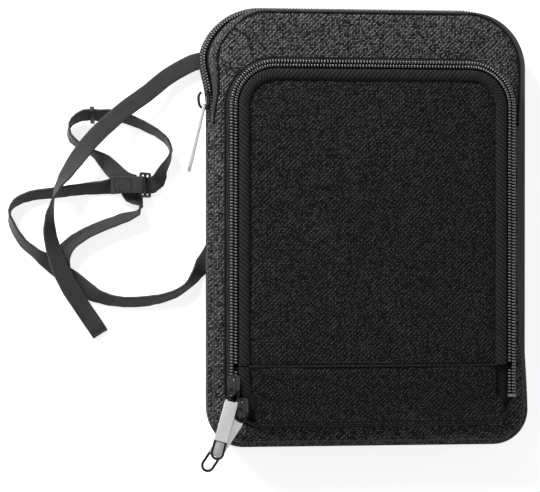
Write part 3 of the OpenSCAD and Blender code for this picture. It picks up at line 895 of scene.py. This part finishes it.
finish("gussetFront", sweep(upperRun, frontBand), "shell", replaces=["front_gusset_band"])


def domed(rim, insets, heightAt, under, seed=0.0, puckers=0.0):
    # a cushion-like sheet: rings from the middle of its underside round the rim to the top
    centre = Vector((sum(spot.x for spot, n in rim) / len(rim), sum(spot.y for spot, n in rim) / len(rim), 0))
    edge = [spot - normal * insets for spot, normal in rim]
    rings, marks = [], []

    def add(points):
        rings.append(points)
        marks.append([Vector((p.x, p.y, 0)) for p in points])

    def ring(share, rise):
        result = []
        for i, spot in enumerate(edge):
            flatSpot = centre + (spot - centre) * share
            result.append(Vector((flatSpot.x, flatSpot.y, rise(flatSpot, share, i))))
        return result

    for share in (0.02, 0.5, 0.9, 0.985):
        add(ring(share, lambda p, t, i: under))
    add(ring(1.0, lambda p, t, i: under + 0.35))
    for share in (1.0, 0.992, 0.98, 0.965, 0.95, 0.93, 0.9, 0.86, 0.82, 0.77, 0.71, 0.65, 0.58, 0.5, 0.42, 0.33, 0.24, 0.15, 0.07, 0.02):
        add(ring(share, lambda p, t, i: heightAt(p, t) + puckers * math.sin(i * 2.1 + seed) * max(0, (t - 0.9)) * 10 * (1 if t < 0.995 else 0)))
    return loft(rings, marks, points=True)


def frontSheet():
    # above the zip's ends the sheet stops at a piped seam; below them it wraps over the side
    centre = Vector((0, 0, 0))
    sheetInsets = [0, 0.25, 0.6, 1.1, 1.8, 2.7, 3.8, 5.2, 7.0, 9.5, 13.0]
    rings, marks = [], []

    def add(spots):
        rings.append(spots)
        marks.append([Vector((p.x, p.y, 0)) for p in spots])

    def heightAt(p, depth, upper, step, inset):
        over = frontZ + 1.75 - 5.0 * (1 - min(1.0, (depth + 0.8) / 8.2)) ** 2.3
        seam = frontZ + 0.1 + 1.65 * (1 - math.exp(-max(0.0, depth - inset) / 1.6))
        sag = 0.3 * grain(p, 26, 3) + 0.16 * grain(p, 9, 9) + 0.07 * grain(p, 3.5, 4)
        pucker = 0.16 * math.sin(step * 1.7) * math.exp(-max(0.0, depth - inset) / 1.5) * upper
        return over * (1 - upper) + seam * upper + (sag if depth > 0.5 else 0) + pucker

    tops = []
    for extra in sheetInsets:
        row = []
        for step, (spot, normal) in enumerate(pouchRim):
            upper = smooth(zipEnd - 4, zipEnd + 5, spot.y)
            sewn = seamDepth(spot, normal)
            depth = extra + upper * sewn - 0.75 * (1 - upper)
            p = spot - normal * depth
            row.append(Vector((p.x, p.y, heightAt(p, depth, upper, step, sewn))))
        tops.append(row)
    last = tops[-1]
    for share in (0.96, 0.9, 0.83, 0.75, 0.66, 0.56, 0.45, 0.34, 0.22, 0.1, 0.02):
        row = []
        for spot in last:
            p = centre + (Vector((spot.x, spot.y, 0)) - centre) * share
            row.append(Vector((p.x, p.y, frontZ + 1.75 + 0.3 * grain(p, 26, 3) + 0.16 * grain(p, 9, 9) + 0.07 * grain(p, 3.5, 4))))
        tops.append(row)
    for row in tops[::-1]:
        add([Vector((p.x, p.y, p.z - 0.9)) for p in row])
    for row in tops:
        add(row)
    return loft(rings, marks, points=True)


finish("frontPanel", frontSheet(), "shell", replaces=["front_panel"])
finish("backPanel", domed(pouchRim, 0.2, lambda p, t: backLow.z + 1.5, backLow.z + 0.05), "shell", replaces=["back_panel"])

# piping in the seams round the front and back
roundRun = measured(pouchRim)
cord8 = arc(0, 0, 0.62, 0, 315, 7)
finish("frontPiping", sweep([(spot - out * (seamAlong[s] - 0.1) + zUp * 24.75, out, up, s) for spot, out, up, s in upperRun], cord8), "tape")
finish("backPiping", sweep([(spot + out * 0.1 + zUp * (backZ - 0.3), out, up, s) for spot, out, up, s in roundRun], arc(0, 0, 0.8, 0, 315, 7), loop=True), "tape")
print("the main compartment is built")

# ---- zips ----

zipper = {"pitch": 1.4, "tilt": 36}


def chain(track, tilt, rowOffset, sideSign, length=2.0, thick=1.7, shift=0.0):
    # one half of a coil: rounded turns that meet the other half in the middle
    places = []
    for spot, out, up, s in spread(track, zipper["pitch"], 0.7 + shift):
        along = out.cross(up)
        places.append(facing(spot, up * sideSign, out))
    return scatter(places, bar(length, zipper["pitch"] * 0.72, thick, 0.7))


def leaningTrack(track, tilt):
    # turns a track's sideways and upward directions about its run
    lean = math.radians(tilt)
    return [(spot, out * math.cos(lean) + up * math.sin(lean), up * math.cos(lean) - out * math.sin(lean), s) for spot, out, up, s in track]


zipTrack = leaningTrack([(spot + zUp * (zipZ + 0.4) - out * 0.9, out, up, s) for spot, out, up, s in upperRun][1:-1], zipper["tilt"])
zipTrack = [(spot, out, up, s - zipTrack[0][3]) for spot, out, up, s in zipTrack]
zipLong = zipTrack[-1][3]
zipTrack = [(spot - Vector((out.x, out.y, 0)).normalized() * 0.5 * (1 - smooth(0, 14, min(s, zipLong - s))), out, up, s) for spot, out, up, s in zipTrack]
for name, side, node, tapeNode in (("Rear", -1, "main_coil_rear", "main_tape_rear"), ("Front", 1, "main_coil_front", "main_tape_front")):
    row = chain(moved(zipTrack, 0.5, side * 1.0), 0, 0, side, shift=0.0 if side > 0 else 0.7)
    finish("mainCoil" + name, row, "coil", replaces=[node])
    strip = [(-1.0, side * 0.2), (-0.5, side * 0.2), (-0.5, side * 3.6), (-1.2, side * 5.6), (-1.8, side * 5.4), (-1.1, side * 3.6)]
    finish("mainTape" + name, sweep(zipTrack, strip), "tape", replaces=[tapeNode])

pocketZ = coilLow.z
pocketHalf = 2.6
pocketFull = between(pocketRim, lambda p: p.y > -77.5, (-77.2, -77.2))
flapRun = measured(between(pocketRim, lambda p: p.y > seamY + 0.5, (seamY + 0.5, seamY + 0.5)))
outerRun = measured(pocketFull)


def pocketRows(track, insetBy, side, shift):
    rows = [(spot - out * insetBy + zUp * (pocketZ + 0.9), out, up, s) for spot, out, up, s in track]
    places = [facing(spot, out * side, up) for spot, out, up, s in spread(rows, zipper["pitch"], 0.7 + shift)]
    return places


cornerLow, cornerHigh = flat("pocket_slider_lower")
cornerMid = (cornerLow + cornerHigh) / 2
slantTurn = math.radians(6)
slantAlong = Vector((-math.sin(slantTurn), math.cos(slantTurn), 0))
slantSide = Vector((math.cos(slantTurn), math.sin(slantTurn), 0))


def slantRow(side):
    spots = []
    for k in range(-3, 3):
        spot = Vector((cornerMid.x, cornerMid.y, pocketZ + 0.9)) + slantAlong * (k * zipper["pitch"] + (0.7 if side > 0 else 0)) + slantSide * side * 1.15
        spots.append(facing(spot, slantSide * side, zUp))
    return spots


finish("pocketCoilOuter", scatter(pocketRows(outerRun, pocketHalf - 0.92, 1, 0) + slantRow(-1), bar(1.85, 0.98, 1.6, 0.7)), "coil", replaces=["pocket_coil_outer"])
finish("flapCoil", scatter(pocketRows(flapRun, pocketHalf + 0.92, -1, 0.7), bar(1.85, 0.98, 1.6, 0.7)), "coil", body="flap", replaces=["flap_coil"])
legRuns = []
for side in (-1, 1):
    x = wallLow.x if side < 0 else wallHigh.x
    run = measured([(Vector((x, seamY - 1.2 - i, 0)), Vector((side, 0, 0))) for i in range(13)])
    legRuns.append(run)
lowerPlaces = []
for run in legRuns:
    lowerPlaces += pocketRows(run, pocketHalf + 0.92, -1, 0.7)
finish("lowerCoil", scatter(lowerPlaces + slantRow(1), bar(1.85, 0.98, 1.6, 0.7)), "coil", replaces=["lower_coil"])

wallZ = wallHigh.z
tapeOuter = [(-0.75, wallZ - 0.3), (-0.8, wallZ + 0.35), (-1.4, wallZ + 0.6), (-2.3, wallZ + 0.6), (-2.3, wallZ + 0.15), (-1.4, wallZ + 0.05)]
finish("pocketTapeOuter", sweep(measured(pocketRim), tapeOuter, loop=True), "tape", replaces=["pocket_tape_outer"])
tapeFlap = [(-3.0, wallZ + 0.3), (-3.0, wallZ - 0.1), (-7.6, wallZ - 0.1), (-7.6, wallZ + 0.3)]
finish("flapTape", sweep(flapRun, tapeFlap), "tape", body="flap", replaces=["flap_tape"])
lowerFull = measured(between(pocketRim, lambda p: p.y < seamY - 0.5, (seamY - 0.5, seamY - 0.5)))
finish("lowerTape", sweep(lowerFull, tapeFlap), "tape", replaces=["lower_tape"])
for name, node in (("mainZipStops", "main_zip_stops"), ("pocketZipStops", "pocket_zip_stops")):
    low, high = flat(node)
    centres = [low.x + 0.9, high.x - 0.9] if name == "mainZipStops" else [(low.x + high.x) / 2]
    wide = 1.9 if name == "mainZipStops" else high.x - low.x
    parts = [block((wide, high.y - low.y, high.z - low.z), (x, (low.y + high.y) / 2, (low.z + high.z) / 2), 0.35) for x in centres]
    finish(name, together(parts), "coil", replaces=[node])
print("the zips are threaded")

# ---- front pocket ----


def wallSection(s):
    push = 0.35 * noise.noise(Vector((s / 15, 2.2, 7))) + 0.15 * noise.noise(Vector((s / 5, 1, 3)))
    low = frontHigh.z - 0.4
    outer = [(0.5, low), (0.5 + push, low + 1.6), (0.5 + push, low + 3.6), (0.2 + push, low + 5.8), (-0.25, low + 7.4), (-0.7, low + 8.4), (-1.1, low + 8.9)]
    near = math.exp(-((s - sliderAt) / 7) ** 2)
    outer = [(a - 0.9 * near, b - 1.6 * near * (b - low) / 9) for a, b in outer]
    return shell(outer, 0.5)


wallRun = measured(pocketRim)
sliderAt = min(wallRun, key=lambda item: (Vector((item[0].x, item[0].y, 0)) - Vector((cornerMid.x, cornerMid.y, 0))).length)[3]
finish("pocketWall", sweep(wallRun, wallSection, loop=True), "panel", replaces=["pocket_wall"])
finish("pocketPiping", sweep([(spot + out * 0.9 + zUp * (frontHigh.z + 0.1), out, up, s) for spot, out, up, s in measured(pocketRim)], arc(0, 0, 0.55, 0, 315, 7), loop=True), "tape")

weltIn, panelIn = 4.9, 9.9
panelZ = flat("flap_panel")[0].z
welt = {"ribs": 1.45, "depth": 0.22, "rise": 2.5}


def weltSection(s):
    wide, rise = panelIn - weltIn, welt["rise"]
    shape = []
    for i in range(11):
        angle = math.pi * i / 10
        across = -(weltIn + wide / 2) + wide / 2 * math.cos(angle) * 1.02
        # slanting ribs: the wave's phase shifts across the band
        wave = abs(math.sin((s - across * 0.9) * math.pi / welt["ribs"])) ** 0.7
        lift = (rise - welt["depth"] * (1 - wave) * 1.6) * math.sin(angle) ** 0.55
        shape.append((across, panelZ + 0.02 + max(lift, 0.1)))
    return shape + [(-(panelIn + 0.02), panelZ), (-weltIn, panelZ)]


def fine(stations, pitch):
    run = spread(measured(stations), pitch)
    return run


finish("flapWelt", sweep(fine(between(pocketRim, lambda p: p.y > seamY + 0.12, (seamY + 0.12, seamY + 0.12)), 0.36), weltSection), "ribbed", body="flap", replaces=["flap_welt"])


def lowWeltSection(s):
    # tucks in under the zip's corner on the left
    tuck = max(0.0, 1 - abs(s - 20) / 13)
    sink = smooth(20, 36, s) * 3.4
    return [(a - tuck * 2.4, b - tuck * 0.9 - sink) for a, b in weltSection(s)]


lowFine = fine(between(pocketRim, lambda p: p.y < seamY - 0.2, (seamY - 0.2, seamY - 0.2)), 0.36)
finish("lowerWelt", sweep(lowFine, lowWeltSection), "ribbed", replaces=["lower_welt"])


def sheetInset(spot, normal):
    # inside the ribbed band at the sides, and down to the pocket's edge at the bottom
    if spot.x < 0:
        low = smooth(0.90, 0.995, -normal.y)
    else:
        low = smooth(0.15, 0.8, -normal.y)
    return (panelIn - 0.25) * (1 - low) + 0.7 * low


def sheetPiece(name, body, node, keep, slope):
    # part of the pocket's front: a domed sheet cut at the cross seam
    rim = [(spot - normal * sheetInset(spot, normal), normal) for spot, normal in pocketRim]
    centre = Vector((0, (wallLow.y + wallHigh.y) / 2, 0))

    def height(p, t):
        fall = max(0.0, (t - 0.9) / 0.1)
        dome = 1.25 * (1 - t * t) + 1.3
        return panelZ + dome - 1.0 * fall ** 2 + 0.25 * grain(p, 30, 5) + 0.12 * grain(p, 10, 1) - slope * (max(0.0, seamY - p.y) / 26) ** 1.6

    bm = domed(rim, 0, height, panelZ + 0.1, 0.2, 0.18)
    cut = Vector((0, seamY + (0.35 if keep > 0 else -0.35), 0))
    geom = bm.verts[:] + bm.edges[:] + bm.faces[:]
    bmesh.ops.bisect_plane(bm, geom=geom, plane_co=cut, plane_no=(0, -keep, 0), clear_outer=True)
    cutEdges = [edge for edge in bm.edges if edge.is_boundary]
    bmesh.ops.contextual_create(bm, geom=cutEdges)
    bmesh.ops.recalc_face_normals(bm, faces=bm.faces)
    return finish(name, bm, "panel", body=body, replaces=[node])


sheetPiece("flapPanel", "flap", "flap_panel", 1, 0.0)
sheetPiece("lowerPanel", "pouch", "lower_panel", -1, 2.6)
print("the pocket's front is on")


def seamBridge():
    # folded edge over the cross seam
    x0, x1 = wallLow.x + panelIn - 0.5, wallHigh.x - panelIn + 0.5
    rings, marks = [], []
    count = 90
    for i in range(count + 1):
        x = x0 + (x1 - x0) * i / count
        t = abs(x) / (x1 + 8)
        z = panelZ + 1.25 * (1 - t * t) + 1.42 + 0.1 * noise.noise(Vector((x / 7, 0, 2)))
        spots = [(-0.55, -0.9), (-0.5, -0.05), (-0.25, 0.08), (0.0, 0.2), (0.22, 0.24), (0.4, 0.1), (0.42, -0.9)]
        rings.append([Vector((x, seamY + a, z + b)) for a, b in spots])
        marks.append([Vector((x, a * 1.5, 0)) for a, b in spots])
    piece = finish("seamEdge", loft(rings, marks), "edge", body=None)
    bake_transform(piece)
    return piece


seamBridge()



def stitches(name, spots, ups, body, thick=0.32, long=1.5, gap=0.75):
    # a row of short rounded stitches along a line of points
    places, walked = [], 0.0
    for a, b, up in zip(spots, spots[1:], ups):
        walked += (b - a).length
        if walked >= long + gap:
            walked = 0.0
            places.append(facing((a + b) / 2, (b - a).normalized(), up))
    return finish(name, scatter(places, bar(long, thick, thick, 0.4)), "thread", body=body)


def panelTop(p):
    t = abs(p.x) / (wallHigh.x - panelIn + 8)
    return panelZ + 1.25 * (1 - t * t) + 1.42


seamLine = [Vector((x / 4, seamY + 1.5, 0)) for x in range(-190, 191)]
seamLine = [Vector((p.x, p.y, panelTop(p) + 0.12)) for p in seamLine]
stitches("seamStitches", seamLine, [zUp] * len(seamLine), "flap")
sideSeam = []
for i in range(41):
    depth = -0.2 + 10.2 * i / 40
    over = frontZ + 1.75 - 5.0 * (1 - min(1.0, (depth + 0.05) / 8.2)) ** 2.3
    sideSeam.append(Vector((pouchEdge(seamY) + depth, seamY - 0.4, over + 0.22)))
track = [(spot, Vector((0, 1, 0)), zUp, i * 0.25) for i, spot in enumerate(sideSeam)]
finish("sideSeam", sweep(track, arc(0, 0, 0.34, 0, 300, 5)), "edge")

# ---- sliders and pull tabs ----

slider = {"length": 9.0, "width": 5.6, "plate": 0.9, "crownHeight": 4.2, "crownLength": 9.0, "top": 2.1}


def sliderShape():
    half, wide = slider["length"] / 2, slider["width"] / 2
    top = slider["top"]
    # wide round shoulders at the divider end, narrower at the tail
    body = arc(wide - 1.3, half - 1.7, 1.3, 0, 90, 5) + arc(1.3 - wide, half - 1.7, 1.3, 90, 180, 5) \
        + [(-wide, 0.6), (-wide + 0.55, -half + 1.4)] + arc(1.6 - wide, 0.9 - half, 0.8, 200, 270, 3) \
        + arc(wide - 1.6, 0.9 - half, 0.8, 270, 340, 3) + [(wide - 0.55, -half + 1.4), (wide, 0.6)]
    parts = [plate([body], slider["plate"], 0.25, (0, 0, top + slider["plate"] / 2)),
             plate([body], 0.8, 0.2, (0, 0, -1.4))]
    # flanges turned down beside the coil, and the divider
    for side in (-1, 1):
        parts.append(block((0.55, slider["length"] - 3.6, 1.5), (side * (wide - 0.35), 0, top - 0.25), 0.2))
    parts.append(block((0.8, 2.4, top + 1.4), (0, half - 1.8, (top - 1.4) / 2), 0.15))
    # hooked crown
    spots = []
    reach, rise = slider["crownLength"] / 2 - 0.42, slider["crownHeight"] - 0.5
    base = top + slider["plate"] - 0.2
    # open at the front like a spring hook
    for y, z in ((reach - 0.9, rise * 0.62), (reach - 1.1, rise * 0.8), (reach - 1.8, rise * 0.94), (1.0, rise + 0.05), (-0.6, rise), (-reach + 1.5, rise * 0.9),
                 (-reach + 0.6, rise * 0.72), (-reach + 0.1, rise * 0.45), (-reach, rise * 0.2), (-reach + 0.2, -0.2)):
        spots.append(Vector((0, y, base + z)))
    track = []
    for i, spot in enumerate(spots):
        run = (spots[min(i + 1, len(spots) - 1)] - spots[max(i - 1, 0)]).normalized()
        track.append((spot, Vector((1, 0, 0)), run.cross(Vector((1, 0, 0))), i * 1.0))
    parts.append(block((1.5, 3.0, 0.9), (0, reach - 1.2, base + 0.45), 0.3))
    ring = [(0.75 * math.copysign(abs(math.cos(a)) ** 0.6, math.cos(a)), 0.68 * math.copysign(abs(math.sin(a)) ** 0.6, math.sin(a)))
            for a in [math.radians(d) for d in range(0, 360, 30)]]
    parts.append(sweep(track, ring))
    return together(parts)


def tabShape():
    # eye at the top, plate, and a round ended finger hole
    long, wide, rim = 32.0, 6.2, 1.1
    end = -long + wide / 2
    loop = 2.75
    outer = arc(1.35, -0.75, 1.4, 0, 90, 5) + arc(-1.35, -0.75, 1.4, 90, 180, 5) + [(-loop, -4.4), (-wide / 2, -5.6)] \
        + arc(0, end, wide / 2, 180, 360, 20) + [(wide / 2, -5.6), (loop, -4.4)]
    eye = [(-2.0, -0.9), (-1.6, -0.3), (1.6, -0.3), (2.0, -0.9), (1.95, -4.5), (1.6, -4.9), (-1.6, -4.9), (-1.95, -4.5)]
    eye.reverse()
    top = end + 5.2
    hole = [(-wide / 2 + rim, top - 0.6), (-wide / 2 + rim + 0.6, top), (wide / 2 - rim - 0.6, top), (wide / 2 - rim, top - 0.6)] \
        + arc(0, end, wide / 2 - rim, 360, 180, 16)
    bm = plate([outer, eye, hole], 1.6, 0.22)
    geom = bm.verts[:] + bm.edges[:] + bm.faces[:]
    bmesh.ops.bisect_plane(bm, geom=geom, plane_co=(0, top + 0.25, 0), plane_no=(0, 1, 0))
    for face in bm.faces:
        middle = face.calc_center_median()
        bare = abs(face.normal.z) > 0.92
        face.material_index = 0 if bare and top + 0.25 < middle.y < -4.6 else 1
    pinRod = bmesh.new()
    bmesh.ops.create_cone(pinRod, cap_ends=True, segments=16, radius1=0.5, radius2=0.5, depth=5.0)
    bmesh.ops.rotate(pinRod, matrix=Matrix.Rotation(math.pi / 2, 3, "Y"), verts=pinRod.verts)
    for face in pinRod.faces:
        face.material_index = 1
    return together([bm, pinRod])


def sliderPlace(node, kind):
    low, high = flat(node)
    middle = (low + high) / 2
    if kind == "side":
        return Matrix.Translation((high.x - 1.8, middle.y, middle.z)) @ Matrix.Rotation(-math.pi / 2, 4, "Y")
    return Matrix.Translation((middle.x, middle.y, low.z + 1.8)) @ Matrix.Rotation(math.radians(6 if kind == "slant" else 0), 4, "Z")


def hung(droop, swing, back=2.85):
    return Matrix.Translation((0, -back, 3.9)) @ Matrix.Rotation(math.radians(droop), 4, "X") @ Matrix.Rotation(math.radians(swing), 4, "Z")


for name, node, kind, body, tabNode, tabBody, pose in (
        ("mainSlider", "main_slider", "side", "main_slider_body", "main_pull_tab", "main_pull_body", (-13, 0)),
        ("upperSlider", "pocket_slider_upper", "leg", "upper_slider_body", "pocket_pull_upper", "upper_pull_body", (-11, -16)),
        ("lowerSlider", "pocket_slider_lower", "slant", "lower_slider_body", "pocket_pull_lower", "lower_pull_body", (0, -40, 2.1))):
    place = sliderPlace(node, kind)
    bm = sliderShape()
    bmesh.ops.transform(bm, matrix=place, verts=bm.verts)
    finish(name, bm, "slider", body=body, replaces=[node])
    bm = tabShape()
    bmesh.ops.transform(bm, matrix=place @ hung(*pose), verts=bm.verts)
    # painted shade: the main pull hangs edge-on, and its faces turned to +X, away from the key lamp, take the dark edge
    # metal so that side renders darker than the lit satin face
    if kind == "side":
        for face in bm.faces:
            face.material_index = 0 if face.normal.x < 0.25 else 1
    finish(name.replace("Slider", "Pull"), bm, ["tab", "rim"], body=tabBody, replaces=[tabNode])
print("sliders and pull tabs hang in place")

# ---- padded back ----

padding = {"swell": 4.4, "voxel": 2.6, "pressure": 4.0, "channel": 26.0, "stretch": 5.0}


def swelled(bm, low, high):
    # blows the cushion's back up with a short cloth simulation, held at its rim, its sewn side and its quilted lines
    middle = (low + high) / 2
    mesh = bpy.data.meshes.new("padShape")
    bmesh.ops.scale(bm, vec=(mm, mm, mm), verts=bm.verts)
    bmesh.ops.recalc_face_normals(bm, faces=bm.faces)
    bm.to_mesh(mesh)
    bm.free()
    copy = bpy.data.objects.new("padShape", mesh)
    bpy.context.collection.objects.link(copy)
    remesh = copy.modifiers.new("even", "REMESH")
    remesh.mode = "VOXEL"
    remesh.voxel_size = padding["voxel"] * mm
    baked = bpy.data.meshes.new_from_object(copy.evaluated_get(bpy.context.evaluated_depsgraph_get()))
    copy.modifiers.clear()
    copy.data = baked
    before = [vert.co.copy() for vert in baked.vertices]
    print("the cushion's shape has", len(before), "points")
    held = copy.vertex_groups.new(name="held")
    for vert in baked.vertices:
        x, y, z = vert.co / mm
        rim = max(abs(x - middle.x) / (high.x - low.x), abs(y - middle.y) / (high.y - low.y)) * 2
        line = abs((x - middle.x + padding["channel"] / 2) % padding["channel"] - padding["channel"] / 2)
        if z > high.z * 0.75 or rim > 0.96 or (line < 1.1 and abs(abs(x) - padding["channel"]) < 2):
            held.add([vert.index], 1.0, "REPLACE")
    cloth = copy.modifiers.new("swell", "CLOTH")
    cloth.settings.vertex_group_mass = "held"
    cloth.settings.use_pressure = True
    cloth.settings.uniform_pressure_force = padding["pressure"]
    cloth.settings.effector_weights.gravity = 0
    cloth.settings.tension_stiffness = 8
    cloth.settings.compression_stiffness = 8
    cloth.point_cache.frame_start, cloth.point_cache.frame_end = 1, 20
    scene = bpy.context.scene
    for frameNumber in range(1, 21):
        scene.frame_set(frameNumber)
    blown = bpy.data.meshes.new_from_object(copy.evaluated_get(bpy.context.evaluated_depsgraph_get()))
    scene.frame_set(1)
    result = bmesh.new()
    result.from_mesh(blown)
    result.verts.ensure_lookup_table()
    for vert, start in zip(result.verts, before):
        shift = (vert.co - start) / mm
        if shift.length > padding["swell"]:
            shift *= padding["swell"] / shift.length
        vert.co = start / mm + shift
        vert.co.z = max(vert.co.z, low.z + 0.2)
    bmesh.ops.subdivide_edges(result, edges=result.edges[:], cuts=1, use_grid_fill=True, smooth=0.4)
    for vert in result.verts:
        vert.co.z = max(vert.co.z, low.z + 0.2)
    weave = result.verts.layers.float_vector.get("weave") or result.verts.layers.float_vector.new("weave")
    for vert in result.verts:
        vert[weave] = vert.co.copy()
    bpy.data.objects.remove(copy)
    for old in (mesh, baked, blown):
        bpy.data.meshes.remove(old)
    return result


def makePad():
    # worked out with its thickness stretched, so that the thin cushion has room to swell
    low, high = flat("back_pad")
    tall = padding["stretch"]
    rim = outline(((low.x, low.y), (high.x, high.y)), 24, 12, 4)
    bm = domed(rim, 0.8, lambda p, t: tall * (high.z - 0.05 - 0.5 * max(0.0, (t - 0.9) * 10) ** 2), tall * 1.0)
    bm = swelled(bm, Vector((low.x, low.y, 0)), Vector((high.x, high.y, high.z * tall)))
    for vert in bm.verts:
        vert.co.z /= tall
    piece = finish("backCushion", bm, "mesh", replaces=["back_pad"])
    return piece


makePad()

# ---- carried over pieces inside the pouch ----

for node in ("back_lining", "slip_pocket", "front_lining", "card_slots"):
    thing = bpy.data.objects.get(node)
    if thing:
        thing.data.materials.clear()
        net = Net("lining" + node.replace("_", ""))
        low = net.noise(net.place(), 2400, 2, 0.6)
        weave = net.math("MULTIPLY", net.math("SINE", net.math("MULTIPLY", net.split(net.place())[0], 9000)),
                         net.math("SINE", net.math("MULTIPLY", net.split(net.place())[1], 9000)))
        net.put(net.shader.inputs["Base Color"], net.mix(net.math("ADD", low, net.math("MULTIPLY", weave, 0.3)), grey(0.016), grey(0.05)))
        net.shader.inputs["Roughness"].default_value = 0.6
        net.bump(weave, 0.00005)
        thing.data.materials.append(net.material)
print("linings are finished")
